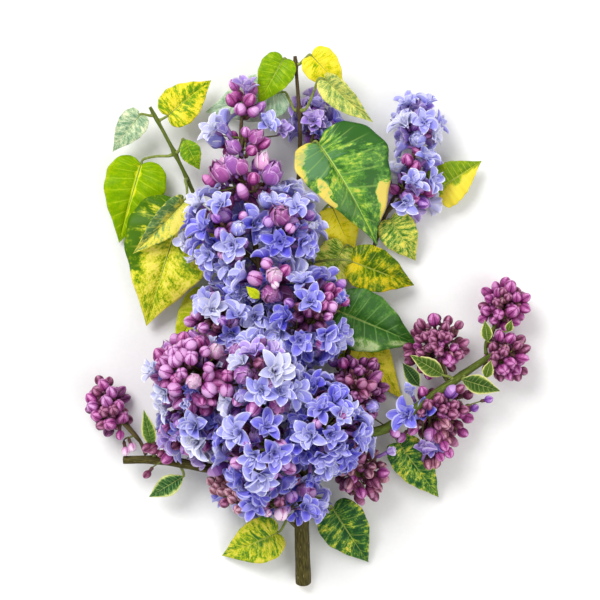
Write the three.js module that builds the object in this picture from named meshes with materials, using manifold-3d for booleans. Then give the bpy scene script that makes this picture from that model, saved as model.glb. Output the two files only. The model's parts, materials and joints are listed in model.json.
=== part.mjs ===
// A cut branch of double lilac with variegated leaves, lying down. Millimetres, +Z up.
// Sizes are given from the fork: x = 0, y = 0 is where the two side branches leave the stem, the bloom
// points along +Y and z = 0 is the surface that the branch lies on. The last lines move the origin to
// the middle of the underside.
import * as THREE from 'three';
import { mergeVertices } from 'three/addons/utils/BufferGeometryUtils.js';
import Module from 'manifold-3d';

const wasm = await Module();
wasm.setup();

const gap = 0.3; // between pieces that touch on the plant
const limbSides = 8;
const cutterSides = 4; // of the fatter tube that cuts a limb's room out of a mass
const limbStep = 18; // length of limb between two rings
const leafThickness = 1.3; // at the midrib, thinning to nothing at the edge
const petioleRadius = 1;
const petioleStops = [0, 0.15, 0.5, 0.85, 1]; // shares of its length that have a ring
const massSides = [10, 7]; // round and from top to bottom
const lumpHeight = 0.09; // share of a mass's radius
const sliver = 0.05; // what is thinner than this where cuts meet is cleared away
const upward = [0, 0, 1]; // square to the surface that the branch lies on
const outsetStart = 2; // a limb leaves its carrier square for this many of its own radii
const petiolePull = 0.4; // share of its reach that a petiole runs straight at each end
const slabOverrun = 0.02; // share of a blade by which its room runs past both ends
const waveCount = 4; // swellings on a mass
const wavePitch = [3, 6]; // least and most turns of a swelling, in radians over a mass's radius
const minStations = 4;

const olive = 0x5f5a2c;
const green = 0x55601f;
const purpleGreen = 0x4c3a3a;

// Limbs. A limb grows from the limb named in on, at that share of its length, and its centre line then
// runs through the points listed. radius is at the start and at the tip.
const limbs = {
  main_stem: { through: [[2, -80, 4.4], [1, -39, 24], [0, 9, 42]], radius: [4.8, 3.9], colour: olive },
  flower_stalk: {
    on: 'main_stem', at: 1, radius: [2.6, 0.9], colour: purpleGreen,
    through: [[-4, 42, 43], [-20, 93, 40], [-28, 132, 38], [-35, 170, 34], [-35, 204, 31], [-33, 217, 30]],
  },
  left_branch: {
    on: 'main_stem', at: 0.91, radius: [3.5, 2.4], colour: olive,
    through: [[-30, -7, 37], [-57, -8, 31], [-81, -4, 24], [-107, -4, 20]],
  },
  right_branch: {
    on: 'main_stem', at: 0.93, radius: [3.6, 1.9], colour: green,
    through: [[27, 11, 37], [48, 14, 32], [81, 36, 27], [112, 57, 23], [122, 63, 22]],
  },
  left_shoot: {
    on: 'main_stem', at: 0.76, radius: [2, 1], colour: green,
    through: [[-23, 27, 17], [-43, 93, 9], [-60, 146, 11], [-75, 180, 18], [-91, 210, 20]],
  },
  centre_shoot: {
    on: 'main_stem', at: 0.83, radius: [2.2, 1], colour: purpleGreen,
    through: [[5, 20, 17], [0, 93, 10], [-2, 135, 14], [0, 195, 24], [-3, 240, 29]],
  },
  right_shoot: {
    on: 'main_stem', at: 0.71, radius: [2, 0.9], colour: purpleGreen,
    through: [[20, 21, 17], [31, 69, 12], [41, 111, 8], [53, 147, 10], [68, 175, 16], [72, 190, 18]],
  },
  left_bud_stalk: { on: 'left_branch', at: 0.87, radius: [1.2, 0.9], colour: purpleGreen, through: [[-109, 23, 18]] },
  right_bud_stalk: { on: 'right_branch', at: 0.72, radius: [1.2, 0.9], colour: green, through: [[84, 54, 25]] },
  far_bud_stalk: { on: 'right_branch', at: 0.93, radius: [1.2, 0.9], colour: green, through: [[119, 80, 21]] },
  back_bloom_stalk: { on: 'centre_shoot', at: 0.72, radius: [1.1, 0.8], colour: green, through: [[7, 191, 15]] },
};

const violetBlue = 0x7d82dd;
const paleViolet = 0xa9a6ea;
const mauve = 0xb06aa8;
const dustyRose = 0x9a5a86;

// Masses of florets and buds: where the middle is, and half the size along x, y and z.
const masses = {
  bloom_tip: { middle: [-33, 215, 30], half: [10, 13, 10], colour: mauve },
  bloom_second_tier: { middle: [-34, 192, 32], half: [21, 14, 14], colour: paleViolet },
  bloom_third_tier: { middle: [-34, 166, 34], half: [23, 15, 17], colour: mauve },
  bloom_upper_left: { middle: [-43, 134, 34], half: [23, 27, 28], colour: violetBlue },
  bloom_upper_right: { middle: [-10, 137, 37], half: [21, 24, 27], colour: violetBlue },
  bloom_middle_buds: { middle: [-19, 106, 40], half: [19, 16, 33], colour: mauve },
  bloom_middle_left: { middle: [-43, 82, 32], half: [22, 18, 32], colour: violetBlue },
  bloom_middle_right: { middle: [6, 83, 40], half: [24, 24, 34], colour: violetBlue },
  bloom_left_lobe: { middle: [-61, 46, 40], half: [29, 27, 41], colour: mauve },
  bloom_centre: { middle: [-23, 46, 52], half: [27, 27, 46], colour: paleViolet },
  bloom_lower_left: { middle: [-57, 17, 33], half: [27, 18, 34], colour: paleViolet },
  bloom_lower_centre: { middle: [-22, 8, 48], half: [28, 27, 48], colour: violetBlue },
  bloom_lower_right: { middle: [12, 18, 43], half: [26, 31, 43], colour: violetBlue },
  bloom_bottom: { middle: [-18, -27, 32], half: [33, 19, 33], colour: violetBlue },
  right_bud_mass: { middle: [35, 39, 36], half: [18, 22, 22], colour: dustyRose },
  lower_right_bud_mass: { middle: [37, -12, 23], half: [16, 17, 19], colour: dustyRose },
  left_bud_mass: { middle: [-118, 30, 17], half: [14, 17, 18], colour: dustyRose },
  near_upper_bud_mass: { middle: [82, 67, 24], half: [21, 18, 19], colour: dustyRose },
  near_lower_bud_mass: { middle: [87, 24, 19], half: [19, 20, 20], colour: dustyRose },
  far_upper_bud_mass: { middle: [124, 91, 18], half: [16, 15, 18], colour: dustyRose },
  far_lower_bud_mass: { middle: [127, 59, 18], half: [14, 17, 18], colour: dustyRose },
  side_bloom_upper: { middle: [72, 199, 18], half: [13, 17, 14], colour: paleViolet },
  side_bloom_lower: { middle: [69, 162, 15], half: [14, 16, 15], colour: paleViolet },
  back_bloom: { middle: [10, 202, 13], half: [14, 14, 12], colour: paleViolet },
};

const leafGreen = 0x4f8a45;
const leafMarbled = 0x8fae4a;
const leafYellow = 0xd8cf3f;
const leafPale = 0xa9c39c;

// Half of a leaf's outline, from the notch at its base to its tip: how far along the blade the midrib
// station is, how far along the edge point is, and how far out. Lobed leaves are heart-shaped.
const heartHalf = [
  [0.012, -0.06, 0.14], [0.03, -0.045, 0.32], [0.07, 0.07, 0.46], [0.16, 0.24, 0.5],
  [0.32, 0.44, 0.44], [0.5, 0.64, 0.3], [0.7, 0.82, 0.14], [0.88, 0.94, 0.045],
];
const ovalHalf = [
  [0.03, 0.02, 0.1], [0.08, 0.11, 0.27], [0.17, 0.24, 0.43], [0.28, 0.38, 0.5],
  [0.42, 0.53, 0.46], [0.58, 0.69, 0.33], [0.75, 0.84, 0.17], [0.9, 0.95, 0.06],
];

// Leaves: base and tip of the blade, its full width, the angle that each half is folded up and the
// angle that the blade is rolled about its midrib, in degrees, and the rise of its arch.
const leaves = {
  hero_leaf: {
    on: 'centre_shoot', at: 0.76, base: [11, 187, 35], tip: [47, 126, 18], width: 58, fold: 18, roll: -18, arch: 5,
    outline: heartHalf, colour: leafGreen,
  },
  arching_leaf: {
    on: 'centre_shoot', at: 0.87, base: [15, 225, 38], tip: [44, 200, 30], width: 19, fold: 28, roll: 20, arch: 2,
    outline: heartHalf, colour: leafPale,
  },
  pale_leaf: {
    on: 'centre_shoot', at: 0.87, base: [-11, 219, 20], tip: [-58, 208, 7], width: 30, fold: 6, roll: 0, arch: 2,
    outline: heartHalf, colour: leafPale,
  },
  top_left_leaf: {
    on: 'centre_shoot', at: 0.98, base: [-10, 238, 30], tip: [-25, 211, 26], width: 22, fold: 8, roll: 0, arch: 3,
    outline: heartHalf, colour: leafMarbled,
  },
  top_right_leaf: {
    on: 'centre_shoot', at: 0.98, base: [7, 240, 31], tip: [27, 219, 24], width: 22, fold: 8, roll: 0, arch: 3,
    outline: heartHalf, colour: leafYellow,
  },
  yellow_leaf: {
    on: 'centre_shoot', at: 0.58, base: [20, 149, 13], tip: [33, 120, 4], width: 25, fold: 8, roll: 0, arch: 1,
    outline: heartHalf, colour: leafYellow,
  },
  outer_right_leaf: {
    on: 'right_shoot', at: 0.74, base: [55, 142, 13], tip: [71, 117, 5], width: 24, fold: 14, roll: 0, arch: 3,
    outline: heartHalf, colour: leafMarbled,
  },
  marbled_right_leaf: {
    on: 'right_shoot', at: 0.64, base: [27, 125, 13], tip: [8, 95, 8], width: 26, fold: 6, roll: 0, arch: 3,
    outline: heartHalf, colour: leafMarbled,
  },
  yellow_green_leaf: {
    on: 'centre_shoot', at: 0.5, base: [32, 116, 22], tip: [70, 102, 8], width: 28, fold: 6, roll: 0, arch: 4,
    outline: heartHalf, colour: leafYellow,
  },
  broad_right_leaf: {
    on: 'centre_shoot', at: 0.4, base: [24, 86, 20], tip: [72, 66, 13], width: 38, fold: 8, roll: 0, arch: 4,
    outline: heartHalf, colour: leafGreen,
  },
  yellow_right_leaf: {
    on: 'centre_shoot', at: 0.34, base: [26, 78, 6], tip: [63, 32, 4], width: 32, fold: 5, roll: 0, arch: 2,
    outline: heartHalf, colour: leafYellow,
  },
  right_branch_leaf: {
    on: 'right_branch', at: 0.4, base: [60, 6, 22], tip: [85, -28, 5], width: 24, fold: 8, roll: 0, arch: 4,
    outline: heartHalf, colour: leafMarbled,
  },
  lower_right_leaf: {
    on: 'main_stem', at: 0.6, base: [20, -34, 17], tip: [42, -68, 3], width: 30, fold: 8, roll: 0, arch: 4,
    outline: heartHalf, colour: leafGreen,
  },
  lower_left_leaf: {
    on: 'main_stem', at: 0.48, base: [-14, -49, 13], tip: [-48, -64, 3], width: 28, fold: 8, roll: 0, arch: 4,
    outline: heartHalf, colour: leafYellow,
  },
  marbled_left_leaf: {
    on: 'left_shoot', at: 0.74, base: [-71, 148, 20], tip: [-94, 77, 9], width: 58, fold: 8, roll: 5, arch: 4,
    outline: heartHalf, colour: leafMarbled,
  },
  folded_left_leaf: {
    on: 'left_shoot', at: 0.8, base: [-70, 152, 32], tip: [-101, 121, 24], width: 21, fold: 30, roll: -16, arch: 3,
    outline: heartHalf, colour: leafMarbled,
  },
  back_lit_leaf: {
    on: 'left_shoot', at: 0.87, base: [-97, 176, 11], tip: [-111, 128, 4], width: 38, fold: 8, roll: 0, arch: 3,
    outline: heartHalf, colour: leafYellow,
  },
  small_left_leaf: {
    on: 'left_shoot', at: 0.87, base: [-70, 190, 23], tip: [-61, 172, 20], width: 13, fold: 10, roll: 0, arch: 1,
    outline: ovalHalf, colour: leafMarbled,
  },
  upper_left_leaf: {
    on: 'left_shoot', at: 0.96, base: [-80, 205, 20], tip: [-54, 227, 13], width: 25, fold: 8, roll: 0, arch: 3,
    outline: heartHalf, colour: leafYellow,
  },
  grey_left_leaf: {
    on: 'left_shoot', at: 0.98, base: [-97, 205, 22], tip: [-114, 183, 17], width: 18, fold: 8, roll: 0, arch: 2,
    outline: heartHalf, colour: leafPale,
  },
  lower_yellow_leaf: {
    on: 'left_shoot', at: 0.45, base: [-57, 96, 8], tip: [-78, 61, 3], width: 22, fold: 6, roll: 0, arch: 1,
    outline: heartHalf, colour: leafYellow,
  },
  left_bract_upper: {
    on: 'left_branch', at: 0.82, base: [-89, 5, 28], tip: [-94, 27, 32], width: 9, fold: 14, roll: 0, arch: 1,
    outline: ovalHalf, colour: leafMarbled,
  },
  left_bract_lower: {
    on: 'left_branch', at: 0.66, base: [-71, -14, 22], tip: [-92, -27, 14], width: 13, fold: 10, roll: 0, arch: 1,
    outline: ovalHalf, colour: leafMarbled,
  },
  right_bract_upper: {
    on: 'right_branch', at: 0.74, base: [86, 48, 31], tip: [66, 60, 37], width: 11, fold: 10, roll: 0, arch: 1,
    outline: ovalHalf, colour: leafMarbled,
  },
  right_bract_lower: {
    on: 'right_branch', at: 0.79, base: [98, 45, 28], tip: [121, 38, 26], width: 12, fold: 10, roll: 0, arch: 1,
    outline: ovalHalf, colour: leafMarbled,
  },
};

const vector = (p) => new THREE.Vector3(...p);
const radians = THREE.MathUtils.degToRad;

// A closed tube of corner points round a line: corner(station, side) places the rings and end(station)
// the point that closes the first and the last ring.
function loft(sides, stations, corner, end) {
  const tube = new THREE.CylinderGeometry(1, 1, 1, sides, stations - 1);
  tube.deleteAttribute('normal');
  tube.deleteAttribute('uv');
  const shape = mergeVertices(tube);
  const at = shape.attributes.position;
  for (let i = 0; i < at.count; i++) {
    const station = Math.round((0.5 - at.getY(i)) * (stations - 1));
    const turn = Math.atan2(at.getX(i), at.getZ(i)) / (2 * Math.PI);
    const side = (Math.round(turn * sides) + sides) % sides;
    const closing = Math.hypot(at.getX(i), at.getZ(i)) < 0.5;
    const p = closing ? end(station) : corner(station, side);
    at.setXYZ(i, p.x, p.y, p.z);
  }
  return shape;
}

// Where a piece that grows from a limb starts, and the way it leaves: square to the limb, towards aim.
function seat(limb, at, aim) {
  const middle = limb.line.getPointAt(at);
  const along = limb.line.getTangentAt(at);
  if (at === 1) {
    return { start: middle.addScaledVector(along, gap), out: along };
  }
  const out = aim.clone().sub(middle).projectOnPlane(along).normalize();
  return { start: middle.addScaledVector(out, limb.radiusAt(at) + gap), out };
}

const grown = {}; // each limb's centre line and its radius along it

function growLimb(name, { on, at, through, radius }) {
  const points = through.map(vector);
  if (on) {
    const { start, out } = seat(grown[on], at, points[0]);
    points.unshift(start, start.clone().addScaledVector(out, outsetStart * radius[0]));
  }
  const line = new THREE.CatmullRomCurve3(points, false, 'centripetal');
  const radiusAt = (share) => THREE.MathUtils.lerp(radius[0], radius[1], share);
  grown[name] = { line, radiusAt };
}

// The limb as a solid. With fewer sides and more reach it holds the whole limb and cuts its room.
function limbShape({ line, radiusAt }, sides = limbSides, more = 0) {
  const stations = Math.max(minStations, Math.round(line.getLength() / limbStep) + 1);
  const frames = line.computeFrenetFrames(stations - 1);
  const last = stations - 1;
  const middle = (k) => {
    const overrun = k === 0 ? -more : k === last ? more : 0;
    return line.getPointAt(k / last).addScaledVector(frames.tangents[k], overrun);
  };
  const corner = (k, side) => {
    const turn = (2 * Math.PI * side) / sides;
    const reach = more ? (radiusAt(k / last) + more) / Math.cos(Math.PI / sides) : radiusAt(k / last);
    return middle(k)
      .addScaledVector(frames.normals[k], reach * Math.sin(turn))
      .addScaledVector(frames.binormals[k], reach * Math.cos(turn));
  };
  return loft(sides, stations, corner, middle);
}

// Where a leaf lies: the centre line of its petiole, and its blade's own directions and arched midrib.
function layLeaf({ on, at, base, tip, roll, arch }) {
  const from = vector(base);
  const along = vector(tip).sub(from);
  const length = along.length();
  along.normalize();
  const side = along.clone().cross(vector(upward)).normalize().applyAxisAngle(along, radians(roll));
  const up = side.clone().cross(along);
  const { start, out } = seat(grown[on], at, from);
  const pull = petiolePull * start.distanceTo(from);
  const petiole = new THREE.CubicBezierCurve3(
    start, start.clone().addScaledVector(out, pull), from.clone().addScaledVector(along, -pull), from);
  const midrib = (share) => from.clone().addScaledVector(along, share * length)
    .addScaledVector(up, arch * 4 * share * (1 - share));
  return { petiole, midrib, along, side, up };
}

// Four corners round a point of the petiole.
function petioleRing({ petiole, up }, share, reach) {
  const middle = petiole.getPointAt(share);
  const ahead = petiole.getTangentAt(share);
  const across = ahead.clone().cross(up).normalize();
  const above = across.clone().cross(ahead);
  return [across, above, across.clone().negate(), above.clone().negate()]
    .map((arm) => middle.clone().addScaledVector(arm, reach));
}

// The leaf as a solid: a petiole with a diamond section that opens into a thin folded blade.
function leafShape(leaf) {
  const lie = layLeaf(leaf);
  const rings = petioleStops.map((share) => petioleRing(lie, share, petioleRadius));
  for (const [midrib, edge, reach] of leaf.outline) {
    const half = reach * leaf.width;
    const edgeMiddle = lie.midrib(edge).addScaledVector(lie.up, half * Math.sin(radians(leaf.fold)));
    const arm = lie.side.clone().multiplyScalar(half * Math.cos(radians(leaf.fold)));
    const thick = lie.up.clone().multiplyScalar(leafThickness / 2);
    rings.push([
      edgeMiddle.clone().add(arm), lie.midrib(midrib).add(thick),
      edgeMiddle.clone().sub(arm), lie.midrib(midrib).sub(thick)]);
  }
  const ends = { 0: lie.petiole.getPointAt(0), [rings.length - 1]: lie.midrib(1) };
  return loft(4, rings.length, (k, corner) => rings[k][corner], (k) => ends[k]);
}

// The room that a leaf takes where a mass is cut for it: a square tube round the petiole, and a slab
// round the blade as deep as its fold.
function leafRooms(leaf) {
  const lie = layLeaf(leaf);
  const tube = petioleStops.map((share) => petioleRing(lie, share, (petioleRadius + gap) * Math.SQRT2));
  const [rear, front] = [leaf.outline[0], leaf.outline.at(-1)];
  const sections = [[rear[1] - slabOverrun, leaf.outline[1][2]], ...leaf.outline.slice(2).map(([, e, r]) => [e, r])];
  sections.push([1 + slabOverrun, front[2] / 2]);
  const slab = sections.map(([share, reach]) => {
    const half = reach * leaf.width + 2 * gap;
    const high = half * Math.sin(radians(leaf.fold)) + 2 * gap;
    const low = -leafThickness / 2 - 2 * gap;
    return [[half, high], [-half, high], [-half, low], [half, low]]
      .map(([x, z]) => lie.midrib(share).addScaledVector(lie.side, x).addScaledVector(lie.up, z));
  });
  return [tube, slab].map((rings) => {
    const centre = (k) => rings[k].reduce((sum, p) => sum.add(p), new THREE.Vector3()).divideScalar(4);
    return loft(4, rings.length, (k, corner) => rings[k][corner], centre);
  });
}

// An even run of numbers from 0 to 1 that only depends on its seed.
function seededRun(seed) {
  let state = seed;
  return () => {
    state = (state * 1664525 + 1013904223) % 4294967296;
    return state / 4294967296;
  };
}

// A mass: a ball pushed out and in by a few seeded waves, so that each has a shape of its own.
function massShape({ middle, half }, seed) {
  const next = seededRun(seed);
  const waves = Array.from({ length: waveCount }, () => ({
    way: new THREE.Vector3(next() - 0.5, next() - 0.5, next() - 0.5).normalize(),
    pitch: THREE.MathUtils.lerp(...wavePitch, next()),
    phase: 2 * Math.PI * next(),
  }));
  const ball = new THREE.SphereGeometry(1, ...massSides);
  ball.deleteAttribute('normal');
  ball.deleteAttribute('uv');
  const shape = mergeVertices(ball);
  const at = shape.attributes.position;
  const p = new THREE.Vector3();
  for (let i = 0; i < at.count; i++) {
    p.fromBufferAttribute(at, i);
    const swell = waves.reduce((sum, w) => sum + Math.sin(w.pitch * p.dot(w.way) + w.phase), 0);
    p.multiplyScalar(1 + (2 * lumpHeight * swell) / waveCount).multiply(vector(half)).add(vector(middle));
    at.setXYZ(i, p.x, p.y, p.z);
  }
  return shape;
}

function toSolid(shape) {
  const vertProperties = new Float32Array(shape.attributes.position.array);
  const triVerts = new Uint32Array(shape.index.array);
  return new wasm.Manifold(new wasm.Mesh({ numProp: 3, vertProperties, triVerts }));
}

function toShape(solid) {
  const mesh = solid.getMesh();
  const shape = new THREE.BufferGeometry();
  shape.setAttribute('position', new THREE.BufferAttribute(mesh.vertProperties, 3));
  shape.setIndex(new THREE.BufferAttribute(mesh.triVerts, 1));
  return shape;
}

// How far a mass reaches from its middle in one direction.
const reachOf = ({ half }, way) => 1 / way.clone().divide(vector(half)).length();

// Two masses that would run into each other meet at a flat seam between them.
function seamSides(mass, other) {
  const way = vector(other.middle).sub(vector(mass.middle));
  const apart = way.length();
  way.normalize();
  const [mine, theirs] = [reachOf(mass, way), reachOf(other, way)];
  const meet = mine + theirs > apart * (1 - 2 * lumpHeight);
  return meet && { way, at: vector(mass.middle).dot(way) + (apart * mine) / (mine + theirs) };
}

// The mass cut flat at the ground and at its seams, and hollowed where limbs and leaves run into it.
function massSolid(name, index, runners) {
  let solid = toSolid(massShape(masses[name], index + 1)).trimByPlane(upward, 0);
  for (const [otherName, other] of Object.entries(masses)) {
    const seam = otherName !== name && seamSides(masses[name], other);
    if (seam) {
      solid = solid.trimByPlane(seam.way.clone().negate().toArray(), gap / 2 - seam.at);
    }
  }
  for (const runner of runners) {
    solid = solid.subtract(runner);
  }
  return solid.decompose().reduce((a, b) => (a.volume() > b.volume() ? a : b)).asOriginal().simplify(sliver);
}

const group = new THREE.Group();

function addPiece(name, shape, colour, roughness) {
  const piece = new THREE.Mesh(shape, new THREE.MeshStandardMaterial({ color: colour, roughness, metalness: 0 }));
  piece.name = name;
  group.add(piece);
}

const runners = [];
for (const [name, limb] of Object.entries(limbs)) {
  growLimb(name, limb);
  addPiece(name, limbShape(grown[name]), limb.colour, 0.75);
  runners.push(toSolid(limbShape(grown[name], cutterSides, gap)));
}
for (const [name, leaf] of Object.entries(leaves)) {
  addPiece(name, leafShape(leaf), leaf.colour, 0.5);
  runners.push(...leafRooms(leaf).map(toSolid));
}
Object.keys(masses).forEach((name, index) => {
  addPiece(name, toShape(massSolid(name, index, runners)), masses[name].colour, 0.6);
});

const box = new THREE.Box3().setFromObject(group);
group.position.set(-(box.min.x + box.max.x) / 2, -(box.min.y + box.max.y) / 2, -box.min.z);

export default group;
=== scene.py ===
import json
import math
import random

import bmesh
import bpy
import numpy as np
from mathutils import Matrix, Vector, noise
from mathutils.bvhtree import BVHTree


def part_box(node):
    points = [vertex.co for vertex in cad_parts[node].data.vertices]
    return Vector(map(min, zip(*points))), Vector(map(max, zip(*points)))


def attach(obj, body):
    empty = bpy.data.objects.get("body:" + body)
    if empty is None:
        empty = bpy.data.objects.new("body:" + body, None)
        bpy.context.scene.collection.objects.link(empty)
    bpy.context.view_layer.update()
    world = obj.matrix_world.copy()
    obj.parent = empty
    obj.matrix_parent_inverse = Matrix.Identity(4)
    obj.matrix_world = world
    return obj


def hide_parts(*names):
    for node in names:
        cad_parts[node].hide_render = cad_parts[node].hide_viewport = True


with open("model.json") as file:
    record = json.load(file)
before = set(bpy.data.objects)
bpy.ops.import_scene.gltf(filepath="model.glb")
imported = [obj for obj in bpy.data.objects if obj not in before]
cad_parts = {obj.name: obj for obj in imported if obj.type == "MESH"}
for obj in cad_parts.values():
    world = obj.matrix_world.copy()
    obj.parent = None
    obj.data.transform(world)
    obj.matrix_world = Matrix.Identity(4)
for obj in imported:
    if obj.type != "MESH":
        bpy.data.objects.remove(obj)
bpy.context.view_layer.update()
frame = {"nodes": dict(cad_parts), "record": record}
nodes = frame["nodes"]
slotOf = {part["node"]: part["material_slot"] for part in frame["record"]["subparts"]}
mm = 0.001
fork = np.array((-5.1, -81.8, 0.0)) * mm  # where the side branches leave the stem
upward = np.array((0.0, 0.0, 1.0))

# The camera looks straight down at the middle from its height, and sees so far across at a level. Places of
# flowers are given in millimetres from the fork, as the camera sees them at that level.
view = {"middle": (-5.1 * mm, 11.2 * mm), "height": 1400 * mm, "level": 35 * mm, "across": 360 * mm}
eye = np.array((*view["middle"], view["height"]))

massWords = ("bloom", "mass")
limbWords = ("stem", "stalk", "branch", "shoot")
limbNames = [n for n in nodes if n.endswith(limbWords)]
massNames = [n for n in nodes if n not in limbNames and any(word in n for word in massWords)]
leafNames = [n for n in nodes if n not in limbNames and n not in massNames]
print("frame:", len(limbNames), "limbs", len(leafNames), "leaves", len(massNames), "masses")


# reading the frame: how many corners the rings of a limb and of a leaf have, how many rings the petiole has,
# and how near two corners are that are one
solidDetail = {"limbCorners": 8, "leafCorners": 4, "petioleRings": 5, "weld": 0.01 * mm}


def weldedSolid(node):
    solid = bmesh.new()
    solid.from_mesh(nodes[node].data)
    bmesh.ops.remove_doubles(solid, verts=solid.verts, dist=solidDetail["weld"])
    return solid


# the points at the two ends, where a ring closes
def endsOf(solid, corners):
    return [point for point in solid.verts if len(point.link_edges) == corners]


# rings of corners from one end of a solid to the other
def ringsFrom(start):
    seen = {start}
    layers = [[start]]
    while layers[-1]:
        ahead = []
        for corner in layers[-1]:
            for edge in corner.link_edges:
                other = edge.other_vert(corner)
                if other not in seen:
                    seen.add(other)
                    ahead.append(other)
        layers.append(ahead)
    return [np.array([c.co for c in layer]) for layer in layers[:-1]]


def readLimb(node):
    solid = weldedSolid(node)
    ends = endsOf(solid, solidDetail["limbCorners"])
    girth = [np.mean([edge.calc_length() for edge in end.link_edges]) for end in ends]
    rings = ringsFrom(ends[int(np.argmax(girth))])[1:-1]
    line = np.array([ring.mean(0) for ring in rings])
    radii = np.array([np.linalg.norm(ring - ring.mean(0), axis=1).mean() for ring in rings])
    solid.free()
    return {"line": line, "radii": radii}


# a leaf's middle line and two edges, from the foot of its petiole to its tip, and which way its face looks
def readLeaf(node):
    solid = weldedSolid(node)
    corners, petioleRings = solidDetail["leafCorners"], solidDetail["petioleRings"]
    ends = endsOf(solid, corners)
    rings = ringsFrom(min(ends, key=lambda end: max(edge.calc_length() for edge in end.link_edges)))
    petiole = np.array([ring.mean(0) for ring in rings[1:petioleRings + 1]])
    base, tip = petiole[-1], rings[-1][0]
    along = (tip - base) / np.linalg.norm(tip - base)
    blade = rings[petioleRings + 1:-1]
    widest = max(blade, key=lambda ring: np.ptp(ring, axis=0).max())
    pairs = [(i, j) for i in range(corners) for j in range(i)]
    above, below = min(pairs, key=lambda pair: np.linalg.norm(widest[pair[0]] - widest[pair[1]]))
    up = widest[above] - widest[below]
    up *= np.sign(up[2]) / np.linalg.norm(up)
    right = np.cross(along, up)
    mids, lefts, rights = [base], [base], [base]
    for ring in blade:
        order = np.argsort(ring @ right)
        lefts.append(ring[order[0]])
        rights.append(ring[order[-1]])
        mids.append(ring[order[1:-1]].mean(0))
    for side in (mids, lefts, rights):
        side.append(tip)
    solid.free()
    return {"petiole": petiole, "mids": np.array(mids), "lefts": np.array(lefts),
            "rights": np.array(rights), "up": up}


def treeOf(names):
    joined = bmesh.new()
    for name in names:
        joined.from_mesh(nodes[name].data)
    tree = BVHTree.FromBMesh(joined)
    joined.free()
    return tree


limbs = {name: readLimb(name) for name in limbNames}
leaves = {name: readLeaf(name) for name in leafNames}
leafTree = treeOf(leafNames)
limbTree = treeOf(limbNames)
massTrees = {name: treeOf([name]) for name in massNames}
print("frame read: limb lines and leaf blades")


# shapes

# a smooth line through points, at places counted in points from 0
def lineAt(points, places):
    ends = np.vstack([2 * points[0] - points[1], points, 2 * points[-1] - points[-2]])
    k = np.clip(np.floor(places).astype(int), 0, len(points) - 2)
    f = (places - k)[:, None]
    a, b, c, d = ends[k], ends[k + 1], ends[k + 2], ends[k + 3]
    return 0.5 * (2 * b + (c - a) * f + (2 * a - 5 * b + 4 * c - d) * f**2 + (3 * b - a - 3 * c + d) * f**3)


def unit(v):
    return v / max(np.linalg.norm(v), 1e-12)


# a frame that is carried along the line without turning about it
def carriedFrames(line):
    ahead = np.gradient(line, axis=0)
    ahead /= np.linalg.norm(ahead, axis=1)[:, None]
    side = unit(np.cross(ahead[0], upward if abs(ahead[0][2]) < 0.9 else (1.0, 0.0, 0.0)))
    sides = []
    for a in ahead:
        side = unit(side - a * (side @ a))
        sides.append(side)
    sides = np.array(sides)
    return ahead, sides, np.cross(ahead, sides)


def emptyBatch():
    return {"points": [], "faces": [], "shades": [], "count": 0}


def addTo(batch, points, faces, shades):
    batch["points"].append(np.asarray(points))
    batch["faces"] += [[i + batch["count"] for i in face] for face in faces]
    batch["shades"] += list(shades)
    batch["count"] += len(points)


# the four-sided faces between rows of points
def gridFaces(rows, columns, closed):
    faces = []
    for row in range(rows - 1):
        for column in range(columns if closed else columns - 1):
            first, second = row * columns + column, row * columns + (column + 1) % columns
            faces.append((first, second, second + columns, first + columns))
    return faces


def addSheet(batch, points, shades):
    addTo(batch, points.reshape(-1, 3), gridFaces(*points.shape[:2], False), shades)


def turnsOf(count):
    return np.arange(count) * 2 * math.pi / count


# a round tube; grain(station, turn) gives a share of the radius to add
def addTube(batch, line, radii, sides, shade, grain=None):
    ahead, side, over = carriedFrames(line)
    turns = turnsOf(sides)
    reach = np.repeat(radii[:, None], sides, 1)
    if grain:
        reach *= 1 + np.array([[grain(k, t) for t in turns] for k in range(len(line))])
    ringed = np.cos(turns)[None, :, None] * side[:, None] + np.sin(turns)[None, :, None] * over[:, None]
    points = (line[:, None] + reach[:, :, None] * ringed).reshape(-1, 3)
    faces = gridFaces(len(line), sides, True)
    last = (len(line) - 1) * sides
    faces += [tuple(range(sides))[::-1], tuple(range(last, last + sides))]
    addTo(batch, points, faces, [shade] * len(faces))


# a piece that rides on the branch; a map gives each of its points a place for its finishes to use
def makePiece(name, batch, finishes, replaced, slot, maps=None):
    mesh = bpy.data.meshes.new(name)
    points = np.concatenate(batch["points"])
    mesh.from_pydata(points.tolist(), [], batch["faces"])
    mesh.polygons.foreach_set("material_index", batch["shades"])
    mesh.shade_smooth()
    for mapName, places in (maps or {}).items():
        layer = mesh.uv_layers.new(name=mapName)
        corners = np.zeros(len(mesh.loops), int)
        mesh.loops.foreach_get("vertex_index", corners)
        layer.data.foreach_set("uv", places[corners].ravel())
    for finish in finishes:
        mesh.materials.append(finish)
    piece = bpy.data.objects.new(name, mesh)
    bpy.context.scene.collection.objects.link(piece)
    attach(piece, "root")
    if replaced:
        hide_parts(*replaced)
    return piece


# finishes

def colour(red, green, blue):
    def linear(c):
        c /= 255
        return c / 12.92 if c <= 0.04045 else ((c + 0.055) / 1.055) ** 2.4
    return (linear(red), linear(green), linear(blue), 1.0)


def startFinish(name, roughness, specular=0.3):
    finish = bpy.data.materials.new(name)
    finish.use_nodes = True
    tree = finish.node_tree
    surface = tree.nodes["Principled BSDF"]
    surface.inputs["Roughness"].default_value = roughness
    surface.inputs["Specular IOR Level"].default_value = specular
    return finish, tree, surface


def plainFinish(name, shade, roughness=0.55, sheen=0.0):
    finish, _, surface = startFinish(name, roughness, 0.25)
    surface.inputs["Base Color"].default_value = colour(*shade)
    surface.inputs["Sheen Weight"].default_value = sheen
    return finish


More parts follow.
